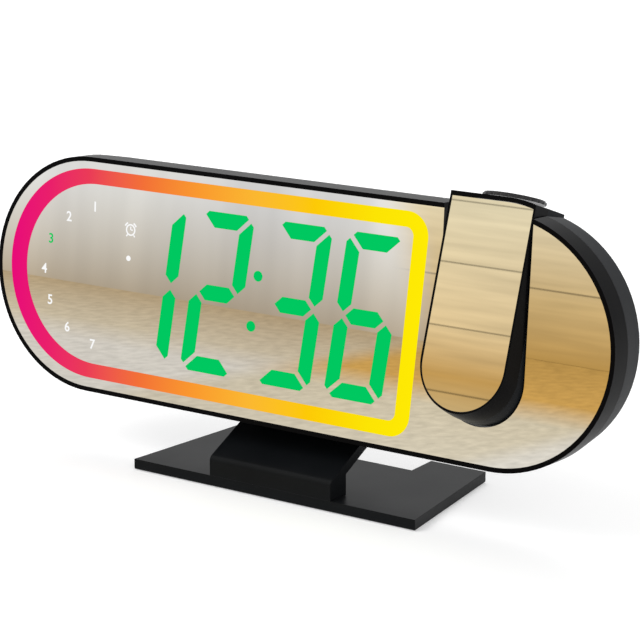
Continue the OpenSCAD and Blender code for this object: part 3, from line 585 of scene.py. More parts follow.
def new_tree(
    name: str, sockets: Sequence[tuple[str, str]]
) -> tuple[bpy.types.NodeTree, dict[str, str], bpy.types.Node]:
    """Starts a geometry node tree.

    Args:
        name: The tree's name.
        sockets: Names and socket types of its inputs, after the geometry.

    Returns:
        The tree, the identifiers of its inputs, and the node that gives their values.
    """
    group = bpy.data.node_groups.new(name, "GeometryNodeTree")
    group.interface.new_socket("Geometry", in_out="OUTPUT", socket_type="NodeSocketGeometry")
    group.interface.new_socket("Geometry", in_out="INPUT", socket_type="NodeSocketGeometry")
    found = {}
    for label, kind in sockets:
        found[label] = group.interface.new_socket(label, in_out="INPUT", socket_type=kind).identifier
    return group, found, add_node(group, "NodeGroupInput")


def close_tree(
    group: bpy.types.NodeTree, made: bpy.types.NodeSocket, material: bpy.types.NodeSocket
) -> None:
    """Ends a tree: instances made real, material set.

    Args:
        group: The tree.
        made: What the tree has made.
        material: The input that holds the material.
    """
    real = add_node(group, "GeometryNodeRealizeInstances", {"Geometry": made}).outputs[0]
    dressed = add_node(group, "GeometryNodeSetMaterial", {"Geometry": real, "Material": material})
    add_node(group, "NodeGroupOutput", (dressed.outputs[0],))


def plate_tree() -> Tree:
    """Builds the tree that fills closed outlines and gives them a thickness.

    Returns:
        The tree, with the inputs Thickness and Material.
    """
    inputs = (("Thickness", "NodeSocketFloat"), ("Material", "NodeSocketMaterial"))
    group, found, given = new_tree("lit_plate", inputs)
    filled = add_node(group, "GeometryNodeFillCurve", (given.outputs["Geometry"],), {"mode": "NGONS"})
    sockets = {"Mesh": filled.outputs[0], "Offset Scale": given.outputs["Thickness"], "Individual": False}
    raised = add_node(group, "GeometryNodeExtrudeMesh", sockets, {"mode": "FACES"})
    back = add_node(group, "GeometryNodeFlipFaces", (filled.outputs[0],))
    both = add_node(group, "GeometryNodeJoinGeometry")
    for part in (raised, back):
        group.links.new(part.outputs[0], both.inputs[0])
    sockets = {"Geometry": both.outputs[0], "Distance": WELD}
    closed = add_node(group, "GeometryNodeMergeByDistance", sockets)
    close_tree(group, closed.outputs[0], given.outputs["Material"])
    return Tree(group, found)


def dots_tree() -> Tree:
    """Builds the tree that stands a round dot on each point of a mesh.

    Returns:
        The tree, with the inputs Radius, Thickness and Material.
    """
    inputs = (("Radius", "NodeSocketFloat"), ("Thickness", "NodeSocketFloat"),
              ("Material", "NodeSocketMaterial"))
    group, found, given = new_tree("dots", inputs)
    sockets = {"Vertices": DOT_SIDES, "Radius": given.outputs["Radius"], "Depth": given.outputs["Thickness"]}
    dot = add_node(group, "GeometryNodeMeshCylinder", sockets)
    sockets = {"Points": given.outputs["Geometry"], "Instance": dot.outputs["Mesh"]}
    dots = add_node(group, "GeometryNodeInstanceOnPoints", sockets)
    close_tree(group, dots.outputs[0], given.outputs["Material"])
    return Tree(group, found)


# ---------------------------------------------------------------- drawing on the body


@dataclass(frozen=True)
class FacePlane:
    """The body's leaning face: x along it, z up it from its middle, depth behind its front."""

    y: float = -18.1 * MM
    z: float = 55.414 * MM
    lean: float = math.radians(4)
    back: float = 16.7 * MM
    door: Point = (-84 * MM, 0.0)

    def place(self, depth: float) -> Matrix:
        """Gives the matrix that lays a drawing in the XY plane on the face.

        Args:
            depth: How far behind the front of the rim the drawing lies.

        Returns:
            The matrix: the drawing's +Y becomes the face's up, its +Z points out of the face.
        """
        stand = Matrix.Rotation(math.radians(90), 4, "X")
        tilt = Matrix.Rotation(-self.lean, 4, "X")
        return Matrix.Translation((0, self.y, self.z)) @ tilt @ Matrix.Translation((0, depth, 0)) @ stand


def around(center: Point, radius: float, angles: Iterable[float]) -> list[Point]:
    """Gives points on a circle.

    Args:
        center: The circle's centre.
        radius: Its radius.
        angles: Where the points lie on it, in degrees.

    Returns:
        The points.
    """
    turns = [math.radians(angle) for angle in angles]
    return [(center[0] + radius * math.cos(turn), center[1] + radius * math.sin(turn)) for turn in turns]


def arc(center: Point, radius: float, start: float, end: float, steps: int) -> list[Point]:
    """Gives points along an arc.

    Args:
        center: Its centre.
        radius: Its radius.
        start: First angle, in degrees.
        end: Last angle, in degrees.
        steps: Number of steps.

    Returns:
        The points.
    """
    return around(center, radius, [start + (end - start) * i / steps for i in range(steps + 1)])


def stroke(start: Point, end: Point, width: float) -> list[Point]:
    """Draws a straight line with a width.

    Args:
        start: Where it starts.
        end: Where it ends.
        width: Its width.

    Returns:
        Its four corners.
    """
    a, b = Vector(start), Vector(end)
    along = b - a
    side = Vector((-along.y, along.x)).normalized() * (width / 2)
    return [tuple(a - side), tuple(b - side), tuple(b + side), tuple(a + side)]


def outline_object(name: str, outlines: Iterable[Sequence[Point]]) -> bpy.types.Object:
    """Makes a flat curve object from closed outlines.

    Args:
        name: The object's name.
        outlines: Lists of corners.

    Returns:
        The curve object, linked into the scene.
    """
    curve = bpy.data.curves.new(name, "CURVE")
    curve.dimensions = "2D"
    curve.fill_mode = "NONE"
    for corners in outlines:
        spline = curve.splines.new("POLY")
        spline.points.add(len(corners) - 1)
        for point, (x, z) in zip(spline.points, corners):
            point.co = (x, z, 0, 1)
        spline.use_cyclic_u = True
    obj = bpy.data.objects.new(name, curve)
    bpy.context.scene.collection.objects.link(obj)
    return obj


def points_object(name: str, points: Iterable[Point]) -> bpy.types.Object:
    """Makes a mesh object of bare points in the XY plane.

    Args:
        name: The object's name.
        points: Their places.

    Returns:
        The object, linked into the scene.
    """
    mesh = bpy.data.meshes.new(name)
    mesh.from_pydata([(x, z, 0) for x, z in points], [], [])
    obj = bpy.data.objects.new(name, mesh)
    bpy.context.scene.collection.objects.link(obj)
    return obj


def solid_plate(flat: bpy.types.Mesh, thickness: float) -> bpy.types.Mesh:
    """Gives a flat mesh in the XY plane a thickness, towards +Z.

    Its faces are laid one by one, because an extrusion orders them differently from run to run.

    Args:
        flat: The flat mesh, whose faces look towards +Z.
        thickness: The thickness.

    Returns:
        A new, closed mesh.
    """
    work = bmesh.new()
    work.from_mesh(flat)
    bmesh.ops.remove_doubles(work, verts=work.verts, dist=WELD)
    work.verts.index_update()
    low = [v.co.copy() for v in work.verts]
    count = len(low)
    faces = []
    for face in work.faces:
        corners = [v.index for v in face.verts]
        faces += [corners[::-1], [i + count for i in corners]]
    for edge in work.edges:
        if edge.is_boundary:
            loop = edge.link_loops[0]
            start, end = loop.vert.index, loop.link_loop_next.vert.index
            faces.append([start, end, end + count, start + count])
    work.free()
    mesh = bpy.data.meshes.new(flat.name)
    mesh.from_pydata(low + [co + Vector((0, 0, thickness)) for co in low], [], faces)
    return mesh


def add_piece(name: str, mesh: bpy.types.Mesh, body: str) -> None:
    """Links a finished mesh as a piece of the clock.

    Args:
        name: The piece's name.
        mesh: Its mesh, in place.
        body: The rigid body that it rides on.
    """
    mesh.name = name
    obj = bpy.data.objects.new(name, mesh)
    bpy.context.scene.collection.objects.link(obj)
    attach(obj, body)
    LOG.info("%s: %d faces on %s", name, len(mesh.polygons), body)


@dataclass(frozen=True)
class Studs:
    """Round studs that stand on a surface, sunk in it a little so that no gap shows under them."""

    radius: float
    height: float
    sunk: float = 0.05 * MM

    @property
    def middle(self) -> float:
        """How far above the surface the studs' middles lie."""
        return self.height / 2 - self.sunk

    def stand(
        self, dots: Tree, name: str, places: Iterable[Point], at: Matrix,
        finish: Finish, body: str, slot: Slot,
    ) -> None:
        """Makes the studs one piece of the clock.

        Args:
            dots: The tree that stands a dot on each point.
            name: The piece's name.
            places: The studs' places on the surface.
            at: Where the plane through their middles lies.
            finish: Their finish.
            body: The rigid body that they ride on.
            slot: A material slot; not used.
        """
        values = {"Radius": self.radius, "Thickness": self.height, "Material": finish.material}
        mesh = dots.bake(points_object(name + "_points", places), values)
        mesh.transform(at)
        add_piece(name, mesh, body)


# ---------------------------------------------------------------- sub-assemblies


@dataclass
class SubAssembly:
    """A group of the clock's solids that dresses itself."""

    nodes: dict[str, bpy.types.Object]
    finishes: ClassVar[dict] = {}

    def dress(self) -> set[str]:
        """Gives each of its solids its finish.

        Returns:
            The names of the solids that it dressed.
        """
        dressed = set()
        for finish, names in self.finishes.items():
            for name in names:
                for material_slot in self.nodes[name].material_slots:
                    material_slot.material = finish.material
                dressed.add(name)
                LOG.info("%s is %s", name, finish.name)
        return dressed

    def build(self) -> None:
        """Builds the pieces that its solids don't have."""


@dataclass
class Foot(SubAssembly):
    """The flat foot on its mat, with the folded neck that carries the body."""

    finishes: ClassVar[dict] = {
        SATIN_ABS: ("base_plate", "neck"),
        MAT_RUBBER: ("base_mat",),
        ZINC_STEEL: ("base_weight", "base_screws", "neck_screws"),
    }


@dataclass
class Case(SubAssembly):
    """The front frame with its mirror, and the rear cover with the marks of its battery door."""

    finishes: ClassVar[dict] = {
        POLISHED_ABS: ("front_frame",),
        GRAINED_ABS: ("rear_cover",),
        MIRROR_ACRYLIC: ("mirror_panel",),
        ZINC_STEEL: ("case_screws",),
        SINTERED_BRONZE: ("hinge_bushes",),
    }
    face: FacePlane
    dots: Tree
    marks: Studs = Studs(0.55 * MM, 0.3 * MM)
    mark_ring: float = 14.2 * MM
    open_turn: float = 60.0
    twin_turn: float = 4.0

    def build(self) -> None:
        """Builds the door's marks: one dot where its slot ends shut, two where it ends open."""
        turns = (0.0, -self.open_turn - self.twin_turn, -self.open_turn + self.twin_turn)
        places = around(self.face.door, self.mark_ring, turns)
        at = self.face.place(self.face.back + self.marks.middle)
        self.marks.stand(
            self.dots, "battery_door_marks", places, at, GRAINED_ABS, Body.CLOCK.value, Slot.CASE_REAR
        )


@dataclass(frozen=True)
class BandEdge:
    """One edge of the light band: its round left end, and where its right side crosses its middle."""

    center_x: float
    radius: float
    right: float
    corner: float
    end_steps: int = 64
    corner_steps: int = 12

    def points(self, z: float, lean: float) -> list[Point]:
        """Draws the edge.

        Args:
            z: Height of the band's middle.
            lean: How far its right side leans, in degrees.

        Returns:
            The edge's points.
        """
        rise = self.radius - self.corner
        sway = rise * math.tan(math.radians(lean))
        side = self.right - self.corner
        return (
            arc((self.center_x, z), self.radius, 90, 270, self.end_steps)
            + arc((side - sway, z - rise), self.corner, 270, 360 - lean, self.corner_steps)
            + arc((side + sway, z + rise), self.corner, -lean, 90, self.corner_steps)
        )


@dataclass(frozen=True)
class AlarmSymbol:
    """A small round clock with two bells, two feet and hands. Turns are degrees from its top or bottom."""

    at: Point = (-54.1 * MM, 15.4 * MM)
    radius: float = 1.75 * MM
    line: float = 0.42 * MM
    ring_end: float = 352
    ring_steps: int = 44
    bell_turn: Point = (28, 62)
    bell_steps: int = 8
    bell_rise: Point = (0.3 * MM, 0.75 * MM)
    foot_turn: float = 38
    foot_rise: Point = (0.1 * MM, 0.75 * MM)
    foot_share: float = 0.9
    hand_share: float = 0.8
    long_hand: float = 1.0 * MM
    short_hand: float = 0.8 * MM
    hand_gap: float = 0.45

    def outlines(self) -> list[list[Point]]:
        """Draws the symbol.

        Returns:
            Its closed outlines.
        """
        (x, z), r, line = self.at, self.radius, self.line
        outer, inner = (arc(self.at, each, 0, self.ring_end, self.ring_steps) for each in (r, r - line))
        shapes = [outer, inner[::-1]]
        near, far = self.bell_turn
        for s in (-1, 1):
            bell = arc(self.at, r + self.bell_rise[1], 90 - s * far, 90 - s * near, self.bell_steps)
            low = arc(self.at, r + self.bell_rise[0], 90 - s * near, 90 - s * far, self.bell_steps)
            shapes.append(bell + low if s < 0 else (bell + low)[::-1])
            top, tip = (around(self.at, r + rise, (270 + s * self.foot_turn,))[0] for rise in self.foot_rise)
            shapes.append(stroke(top, tip, line * self.foot_share))
        shapes.append(stroke(self.at, (x, z + self.long_hand), line * self.hand_share))
        shapes.append(stroke((x + line * self.hand_gap, z), (x + self.short_hand, z), line * self.hand_share))
        return shapes


@dataclass
class LitDisplay(SubAssembly):
    """What shines through the mirror: the band, the time, the day numbers and the two marks."""

    finishes: ClassVar[dict] = {
        WHITE_STYRENE: ("display_chassis",),
        BAND_ACRYLIC: ("band_light_guide",),
        GREEN_ACRYLIC: ("segment_light_pipes",),
        WHITE_ACRYLIC: ("mark_light_pipes",),
        SOLDER_RESIST: ("display_board",),
        LED_EPOXY: ("segment_leds", "band_leds"),
        CHIP_EPOXY: ("controller_chips",),
    }
    face: FacePlane
    plate: Tree
    dots: Tree
    front: float = 0.1 * MM
    thickness: float = 0.05 * MM
    time: str = "1236"
    digit_x: tuple[float, ...] = (-46.1 * MM, -22.2 * MM, 4.3 * MM, 28.2 * MM)
    digit_z: float = 0.6 * MM
    digit_w: float = 19.0 * MM
    digit_h: float = 47.4 * MM
    bar: float = 4.6 * MM
    bar_in: float = 2.0 * MM
    middle_in: float = 3.3 * MM
    side_gap: float = 1.0 * MM
    cut: float = 1.0 * MM
    slant: float = math.tan(math.radians(7.4))
    colon: Point = (-8.9 * MM, 0.3 * MM)
    colon_rise: float = 7.35 * MM
    colon_r: float = 1.53 * MM
    band_z: float = 0.4 * MM
    band_lean: float = 3.8
    band_outer: BandEdge = BandEdge(-68.4 * MM, 31.5 * MM, 45.8 * MM, 6.6 * MM)
    band_inner: BandEdge = BandEdge(-66.7 * MM, 27.1 * MM, 41.1 * MM, 2.4 * MM)
    numeral_h: float = 3.0 * MM
    numeral_bold: float = 0.012
    numeral_steps: int = 6
    day_center: Point = (-62.9 * MM, 0.0)
    day_radii: Point = (24.0 * MM, 21.2 * MM)
    day_step: float = 26.2
    days: int = 7
    today: int = 3
    alarm: AlarmSymbol = AlarmSymbol()
    afternoon: Point = (-54.7 * MM, 6.9 * MM)
    afternoon_r: float = 0.8 * MM

    def build(self) -> None:
        """Builds every lit piece."""
        # The band's two edges have different centres, so that it is widest at the left
        outer = self.band_outer.points(self.band_z, self.band_lean)
        inner = self.band_inner.points(self.band_z, self.band_lean)
        self.shine("lit_band", [outer, inner[::-1]], BAND_LIGHT, Slot.BAND)
        self.shine("lit_digits", self.digits(), GREEN_LIGHT, Slot.GREEN)
        rises = (-self.colon_rise, self.colon_rise)
        colon = [(self.colon[0] + rise * self.slant, self.colon[1] + rise) for rise in rises]
        self.stand_dots("lit_colon", colon, self.colon_r, GREEN_LIGHT, Slot.GREEN)
        self.day_numbers()
        self.shine("alarm_symbol", self.alarm.outlines(), WHITE_LIGHT, Slot.CLEAR)
        self.stand_dots("afternoon_dot", [self.afternoon], self.afternoon_r, WHITE_LIGHT, Slot.CLEAR)

    def shine(self, name: str, outlines: Iterable[Sequence[Point]], light: Lit, slot: Slot) -> None:
        """Makes one lit piece from its outlines.

        Args:
            name: The piece's name.
            outlines: Its outlines on the face.
            light: The light that it gives.
            slot: A material slot; not used.
        """
        values = {"Thickness": self.thickness, "Material": light.material}
        mesh = self.plate.bake(outline_object(name + "_outline", outlines), values)
        mesh.transform(self.face.place(self.front + self.thickness))
        add_piece(name, mesh, Body.CLOCK.value)

    def stand_dots(self, name: str, places: list[Point], radius: float, light: Lit, slot: Slot) -> None:
        """Makes a lit piece of round dots.

        Args:
            name: The piece's name.
            places: The dots' places on the face.
            radius: Their radius.
            light: The light that they give.
            slot: A material slot, passed on to Studs.stand, which does not use it.
        """
        studs = Studs(radius, self.thickness, sunk=0.0)
        at = self.face.place(self.front + studs.middle)
        studs.stand(self.dots, name, places, at, light, Body.CLOCK.value, slot)

    def bar_corners(self, bar: Bar) -> list[Point]:
        """Draws one upright bar of a digit, about the digit's middle.

        Args:
            bar: Which of the seven bars.

        Returns:
            Its corners, before the slant.
        """
        w, h = self.digit_w / 2, self.digit_h / 2
        thick, cut, half, gap = self.bar, self.cut, self.bar / 2, self.side_gap
        if bar is Bar.MIDDLE:
            m = w - self.middle_in
            return [(-m, 0), (-m + half, half), (m - half, half),
                    (m, 0), (m - half, -half), (-m + half, -half)]
        if bar in (Bar.TOP, Bar.BOTTOM):
            m = w - self.bar_in
            corners = [(-m + cut, h), (-m, h - cut), (-m + thick - cut, h - thick),
                       (m - thick + cut, h - thick), (m, h - cut), (m - cut, h)]
            sx, sz = 1, 1 if bar is Bar.TOP else -1
        else:
            m = h - self.bar_in
            corners = [(w, m - cut), (w - cut, m), (w - thick, m - thick + cut),
                       (w - thick, gap + half), (w - half, gap), (w, gap + half)]
            sx = 1 if bar in (Bar.UPPER_RIGHT, Bar.LOWER_RIGHT) else -1
            sz = 1 if bar in (Bar.UPPER_RIGHT, Bar.UPPER_LEFT) else -1
        return [(x * sx, z * sz) for x, z in corners]

    def digits(self) -> list[list[Point]]:
        """Draws the lit bars of the time.

        Returns:
            Their outlines.
        """
        shapes = []
        for number, x0 in zip(self.time, self.digit_x):
            for bar in BARS_OF[number]:
                shapes.append([(x0 + x + z * self.slant, self.digit_z + z) for x, z in self.bar_corners(bar)])
        return shapes

    def day_numbers(self) -> None:
        """Makes the numbers of the days, on an ellipse inside the band's round end."""
        for day in range(1, self.days + 1):
            angle = math.radians((day - (self.days + 1) / 2) * self.day_step)
            x = self.day_center[0] - self.day_radii[0] * math.cos(angle)
            z = self.day_center[1] - self.day_radii[1] * math.sin(angle)
            light, slot = (GREEN_LIGHT, Slot.GREEN) if day == self.today else (WHITE_LIGHT, Slot.CLEAR)
            self.numeral(f"day_number_{day}", str(day), (x, z), light, slot)

    def numeral(self, name: str, text: str, at: Point, light: Lit, slot: Slot) -> None:
        """Makes a number that stands on the face.

        Args:
            name: The piece's name.
            text: The number.
            at: Its middle on the face.
            light: The light that it gives.
            slot: A material slot; not used.
        """
        curve = bpy.data.curves.new(name + "_text", "FONT")
        curve.body = text
        curve.size = 1.0
        curve.offset = self.numeral_bold
        curve.resolution_u = self.numeral_steps
        obj = bpy.data.objects.new(name + "_text", curve)
        bpy.context.scene.collection.objects.link(obj)
        graph = bpy.context.evaluated_depsgraph_get()
        flat = bpy.data.meshes.new_from_object(obj.evaluated_get(graph), depsgraph=graph)
        bpy.data.objects.remove(obj)
        xs = [v.co.x for v in flat.vertices]
        ys = [v.co.y for v in flat.vertices]
        scale = Matrix.Scale(self.numeral_h / (max(ys) - min(ys)), 4)
        center = Matrix.Translation((-(min(xs) + max(xs)) / 2, -(min(ys) + max(ys)) / 2, 0))
        flat.transform(Matrix.Translation((at[0], at[1], 0)) @ scale @ center)
        mesh = solid_plate(flat, self.thickness)
        mesh.materials.clear()
        mesh.materials.append(light.material)
        mesh.transform(self.face.place(self.front + self.thickness))
        add_piece(name, mesh, Body.CLOCK.value)


@dataclass
class BackControls(SubAssembly):
    """The push buttons, the battery door and what lies behind them."""

    finishes: ClassVar[dict] = {
        SILICONE: tuple(button.value for button in Button),
        GRAINED_ABS: ("battery_door",),
        MATT_ABS: ("battery_holder", "buzzer", "button_switches"),
        PLATED_BRASS: ("battery_contacts",),
        ZINC_STEEL: ("coin_cell", "usb_c_port"),
    }
    face: FacePlane
    dots: Tree
    first: Point = (-45 * MM, 18 * MM)
    pitch: float = 11 * MM
    cap_rise: float = 1.0 * MM
    mark: Studs = Studs(0.7 * MM, 0.3 * MM)
    stud: Studs = Studs(0.45 * MM, 0.4 * MM)
    stud_ring: float = 9.6 * MM
    stud_count: int = 24

    def build(self) -> None:
        """Builds a raised mark on each button, and the studs that give the thumb a grip on the door."""
        caps = self.face.place(self.face.back + self.cap_rise + self.mark.middle)
        for i, button in enumerate(Button):
            name, at = button.value, (self.first[0] + i * self.pitch, self.first[1])
            self.mark.stand(self.dots, f"{name}_mark", [at], caps, SILICONE, f"{name}_body", Slot.BUTTON)
        turns = [360 * i / self.stud_count for i in range(self.stud_count)]
        places = around(self.face.door, self.stud_ring, turns)
        at = self.face.place(self.face.back + self.stud.middle)
        self.stud.stand(
            self.dots, "battery_door_studs", places, at, GRAINED_ABS, Body.DOOR.value, Slot.CASE_REAR
        )


@dataclass
class ProjectorArm(SubAssembly):
    """The tilting arm with its focus ring, lens and light tunnel."""

    finishes: ClassVar[dict] = {
        POLISHED_ABS: ("arm_shell",),
        GRAINED_ABS: ("arm_cover",),
        MIRROR_ACRYLIC: ("arm_mirror",),
        ZINC_STEEL: ("arm_screws", "ring_retainer"),
        TURNED_STEEL: ("hinge_pins", "friction_washers"),
        MATT_ABS: ("tunnel_front", "tunnel_back", "lens_barrel"),
        SOLDER_RESIST: ("projector_board",),
        LED_EPOXY: ("projector_led",),
        PANEL_GLASS: ("projector_panel",),
        LENS_GLASS: ("condenser_lens", "projector_lens"),
        POLYAMIDE: ("focus_ring",),
    }
    dots: Tree
    # The lens axis leans back with the face by 4 degrees, and with the arm by 14.8 more
    axis: tuple[float, float, float] = (0.0, 0.3222658, 0.9466493)
    ring_foot: tuple[float, float, float] = (67.0 * MM, -4.5929 * MM, 90.9542 * MM)
    ring_top: float = 1.25 * MM
    bead: Studs = Studs(0.3 * MM, 0.2 * MM)
    bead_ring: float = 6.6 * MM
    bead_count: int = 36

    def dress(self) -> set[str]:
        """Dresses the arm and keeps it out of reflections, so that the face mirrors the room alone.

        Returns:
            The names of the solids that it dressed.
        """
        dressed = super().dress()
        for name in dressed:
            self.nodes[name].visible_glossy = False
        return dressed

    def build(self) -> None:
        """Builds the ring of fine beads on the focus ring, which keeps a fingertip from slipping."""
        axis = Vector(self.axis)
        middle = Vector(self.ring_foot) + axis * (self.ring_top + self.bead.middle)
        at = Matrix.Translation(middle) @ axis.to_track_quat("Z", "Y").to_matrix().to_4x4()
        turns = [360 * i / self.bead_count for i in range(self.bead_count)]
        places = around((0.0, 0.0), self.bead_ring, turns)
        self.bead.stand(self.dots, "focus_ring_beads", places, at, POLYAMIDE, Body.RING.value, Slot.RING)


# ---------------------------------------------------------------- studio


@dataclass(frozen=True)
class CardSide:
    """One side of a reflected card: its colours, its grain, and the seams between its boards."""

    stops: Stops
    stretch: tuple[float, float, float]
    size: float
    depth: float
    board: float = 0.0
    seam: float = 0.5 * MM
    seam_shade: float = 0.45

    def color(
        self, tree: bpy.types.NodeTree, part: bpy.types.NodeSocket, height: bpy.types.NodeSocket
    ) -> bpy.types.NodeSocket:
        """Adds the side's colour.

        Args:
            tree: The card's node tree.
            part: How far along the card's colours a point lies, from 0 to 1.
            height: Height of the point, which the seams follow.

        Returns:
            The socket that carries the colour.
        """
        grain = pattern(tree, self.size, 3.0, self.stretch)
        shade = add_node(
            tree, "ShaderNodeMapRange", (grain, NOISE_LOW, NOISE_HIGH, 1 - self.depth, 1.0)
        ).outputs[0]
        if self.board:
            near = add_node(tree, "ShaderNodeMath", (height, self.board / 2), {"operation": "PINGPONG"})
            sockets = (near.outputs[0], self.seam / 2, self.seam, self.seam_shade)
            dark = add_node(tree, "ShaderNodeMapRange", sockets).outputs[0]
            shade = add_node(tree, "ShaderNodeMath", (shade, dark), {"operation": "MULTIPLY"}).outputs[0]
        tint = add_node(tree, "ShaderNodeValToRGB", (part,), stops=self.stops).outputs[0]
        settings = {"data_type": "RGBA", "blend_type": "MULTIPLY"}
        return add_node(tree, "ShaderNodeMix", {0: 1.0, 6: tint, 7: shade}, settings).outputs[2]


@dataclass(frozen=True)
class Lamp:
    """A square soft lamp that points at the clock."""

    name: str
    place: tuple[float, float, float]
    size: float
    watts: float

    def hang(self, target: Vector) -> None:
        """Adds the lamp to the scene.

        Args:
            target: Where it points.
        """
        data = bpy.data.lights.new(self.name, "AREA")
        data.size = self.size
        data.energy = self.watts
        lamp = bpy.data.objects.new(self.name, data)
        lamp.location = self.place
        lamp.rotation_mode = "QUATERNION"
        lamp.rotation_quaternion = (target - lamp.location).to_track_quat("-Z", "Y")
        bpy.context.scene.collection.objects.link(lamp)


@dataclass
class Studio:
    """Camera, lamps, pale floor and the plain cards that the mirrors reflect."""

    target: tuple[float, float, float] = (1.42 * MM, 0.0, 47.93 * MM)
    azimuth: float = math.radians(34.09)
    elevation: float = math.radians(14.33)
    distance: float = 663.3 * MM
    lens: float = 129.51
    film_width: float = 36.0
    clip_start: float = 0.01
    lamps: tuple[Lamp, ...] = (
        Lamp("key", (-0.55, -0.75, 1.0), 0.7, 7.0),
        Lamp("fill", (0.9, -0.6, 0.6), 0.8, 3.0),
        Lamp("back", (-0.35, 0.7, 1.2), 0.9, 8.0),
    )
    world_light: float = 0.5
    world_seen: float = 1.0
    floor_half: float = 3.0
    floor_z: float = -0.05 * MM
    floor_cloud: float = 0.4
    floor_top_up: Point = (0.36, 0.56)
    floor_reach: Point = (0.15, 1.3)
    card_x: Point = (-1.6, 0.9)
    wall_y: float = -0.34
    wall_top: float = 0.9
    wall_span: Point = (0.0, 0.25)
    rug_near: float = -0.03
    rug_z: float = 0.2 * MM
    # The right side of a card begins and ends at these x, which shift with the height
    card_turn: Point = (-0.15, -0.12)
    card_end: Point = (0.0, 0.02)
    card_lean: float = 0.43
    card_glow: float = 1.3

    def build(self) -> None:
        """Builds everything round the clock."""
        bpy.context.scene.view_settings.view_transform = "Standard"
        self.camera()
        self.floor()
        self.world()
        for lamp in self.lamps:
            lamp.hang(Vector(self.target))
        self.cards()

    def camera(self) -> None:
        """Places the camera."""
        data = bpy.data.cameras.new("camera")
        data.lens = self.lens
        data.sensor_width = self.film_width
        data.clip_start = self.clip_start
        camera = bpy.data.objects.new("camera", data)
        away = Vector((
            math.sin(self.azimuth) * math.cos(self.elevation),
            -math.cos(self.azimuth) * math.cos(self.elevation),
            math.sin(self.elevation),
        ))
        camera.location = Vector(self.target) + away * self.distance
        camera.rotation_mode = "QUATERNION"
        camera.rotation_quaternion = (-away).to_track_quat("-Z", "Y")
        bpy.context.scene.collection.objects.link(camera)
        bpy.context.scene.camera = camera

    def sheet(
        self, name: str, corners: Sequence[Sequence[float]], material: bpy.types.Material
    ) -> bpy.types.Object:
        """Adds a flat four-sided sheet that isn't part of the clock.

        Args:
            name: Its name.
            corners: Its four corners.
            material: Its material.

        Returns:
            The sheet's object.
        """
        mesh = bpy.data.meshes.new(name)
        mesh.from_pydata([tuple(c) for c in corners], [], [(0, 1, 2, 3)])
        mesh.materials.append(material)
        obj = bpy.data.objects.new(name, mesh)
        bpy.context.scene.collection.objects.link(obj)
        return obj

    def floor(self) -> None:
        """Adds the pale floor, which keeps the clock's shadow and is white where nothing shades it."""
        material, tree = new_material("pale_floor")
        cloud = pattern(tree, self.floor_cloud)
        stops = ((0.2, "#e4e4e4"), (0.8, "#e8e8e8"))
        matt = add_node(tree, "ShaderNodeBsdfPrincipled", {
            "Base Color": add_node(tree, "ShaderNodeValToRGB", (cloud,), stops=stops).outputs[0],
            "Roughness": 0.9,
            "Specular IOR Level": 0.0,
        })
        # The top-up grows with the distance from the clock, where the lamps reach less
        own = add_node(tree, "ShaderNodeTexCoord").outputs["Object"]
        away = add_node(tree, "ShaderNodeVectorMath", (own,), {"operation": "LENGTH"}).outputs["Value"]
        top_up = add_node(tree, "ShaderNodeMapRange", (away, *self.floor_reach, *self.floor_top_up))
        sockets = (seen_strength(tree), top_up.outputs[0])
        strength = add_node(tree, "ShaderNodeMath", sockets, {"operation": "MULTIPLY"}).outputs[0]
        glow = add_node(tree, "ShaderNodeEmission", {"Strength": strength})
        both = add_node(tree, "ShaderNodeAddShader", (matt.outputs[0], glow.outputs[0]))
        add_node(tree, "ShaderNodeOutputMaterial", {"Surface": both.outputs[0]})
        r, z = self.floor_half, self.floor_z
        self.sheet("floor", ((-r, -r, z), (r, -r, z), (r, r, z), (-r, r, z)), material)

    def world(self) -> None:
        """Adds the soft light from all round, which is seen as white."""
        world = bpy.data.worlds.new("studio")
        world.use_nodes = True
        tree = world.node_tree
        tree.nodes.clear()
        sockets = (seen_strength(tree), 0.0, 1.0, self.world_light, self.world_seen)
        strength = add_node(tree, "ShaderNodeMapRange", sockets).outputs[0]
        sky = add_node(tree, "ShaderNodeBackground", {"Color": linear("#ffffff"), "Strength": strength})
        add_node(tree, "ShaderNodeOutputWorld", {"Surface": sky.outputs[0]})
        bpy.context.scene.world = world

    def card(
        self, name: str, corners: Sequence[Sequence[float]], axis: str, span: Point,
        left: CardSide, right: CardSide,
    ) -> None:
        """Adds a card that only reflections see.

        Args:
            name: Its name.
            corners: Its four corners.
            axis: The axis along which its colours change.
            span: Where along the axis the first and the last colour lie.
            left: What it looks like left of the turn, and again past the end.
            right: What it looks like between them.
        """
        material, tree = new_material(name)
        own = add_node(tree, "ShaderNodeTexCoord").outputs["Object"]
        place = add_node(tree, "ShaderNodeSeparateXYZ", (own,)).outputs
        part = add_node(tree, "ShaderNodeMapRange", (place[axis], *span)).outputs[0]
        slope = (place["Z"], self.card_lean, place["X"])
        across = add_node(tree, "ShaderNodeMath", slope, {"operation": "MULTIPLY_ADD"}).outputs[0]
        smooth = {"interpolation_type": "SMOOTHSTEP"}
        begun = add_node(tree, "ShaderNodeMapRange", (across, *self.card_turn), smooth).outputs[0]
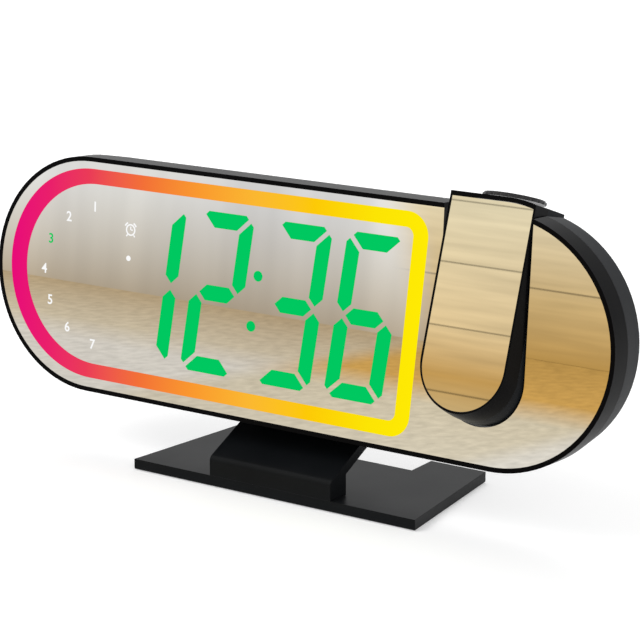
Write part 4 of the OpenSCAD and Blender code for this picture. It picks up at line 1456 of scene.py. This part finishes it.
        # The boards end again further right, so that seen from the front the mirror is mostly pale
        still = add_node(tree, "ShaderNodeMapRange", (across, *self.card_end, 1.0, 0.0), smooth).outputs[0]
        side = add_node(tree, "ShaderNodeMath", (begun, still), {"operation": "MULTIPLY"}).outputs[0]
        mixed = add_node(tree, "ShaderNodeMix", {
            0: side, 6: left.color(tree, part, place["Z"]), 7: right.color(tree, part, place["Z"]),
        }, {"data_type": "RGBA"})
        sockets = {"Color": mixed.outputs[2], "Strength": self.card_glow}
        glow = add_node(tree, "ShaderNodeEmission", sockets)
        add_node(tree, "ShaderNodeOutputMaterial", {"Surface": glow.outputs[0]})
        obj = self.sheet(name, corners, material)
        obj.visible_camera = False
        obj.visible_diffuse = False
        obj.visible_shadow = False
        obj.visible_transmission = False

    def cards(self) -> None:
        """Adds a wall, curtain-pale on the left and of wooden boards on the right, and a pale rug."""
        (x0, x1), back, near, top, z = self.card_x, self.wall_y, self.rug_near, self.wall_top, self.rug_z
        curtain = CardSide(
            ((0.0, "#bdad95"), (0.08, "#d3cabb"), (0.2, "#edebe6"), (0.4, "#f6f5f2")),
            stretch=(1.0, 1.0, 0.08), size=45 * MM, depth=0.3,
        )
        # Above the first colours lies what the tilted arm mirrors: planks, then pale boards again
        boards = CardSide(
            ((0.0, "#c0964f"), (0.1, "#d6b67c"), (0.24, "#eddcb4"), (0.45, "#f2e6c4"),
             (0.56, "#cdb07a"), (0.63, "#c79c56"), (0.72, "#e8cc98"), (0.95, "#eedfb8")),
            stretch=(0.06, 1.0, 1.0), size=4 * MM, depth=0.2, board=30 * MM,
        )
        wall = ((x0, back, 0), (x1, back, 0), (x1, back, top), (x0, back, top))
        self.card("studio_wall", wall, "Z", self.wall_span, curtain, boards)
        pile = {"stretch": (1.0, 0.55, 1.0), "size": 4 * MM, "depth": 0.2}
        grey = CardSide(((0.0, "#b7a07c"), (0.3, "#cfc0a4"), (0.45, "#dcd5c8"), (1.0, "#e1dcd0")), **pile)
        gold = CardSide(((0.0, "#c0964f"), (0.3, "#d3a456"), (0.45, "#d5c8ac"), (1.0, "#dbd2be")), **pile)
        rug = ((x0, back, z), (x1, back, z), (x1, near, z), (x0, near, z))
        self.card("studio_rug", rug, "Y", (back, near), grey, gold)


# ---------------------------------------------------------------- everything


def main() -> None:
    """Builds the scene."""
    logging.basicConfig(level=logging.INFO, format="%(name)s: %(message)s")
    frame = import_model()
    nodes = frame["nodes"]
    face = FacePlane()
    plate, dots = plate_tree(), dots_tree()
    dressed = set()
    for part in (Foot(nodes), Case(nodes, face, dots), LitDisplay(nodes, face, plate, dots),
                 BackControls(nodes, face, dots), ProjectorArm(nodes, dots)):
        dressed |= part.dress()
        part.build()
        LOG.info("%s is done", type(part).__name__)
    if left := set(nodes) - dressed:
        raise ValueError(f"no finish for {sorted(left)}")
    Studio().build()


if __name__ == "__main__":
    main()
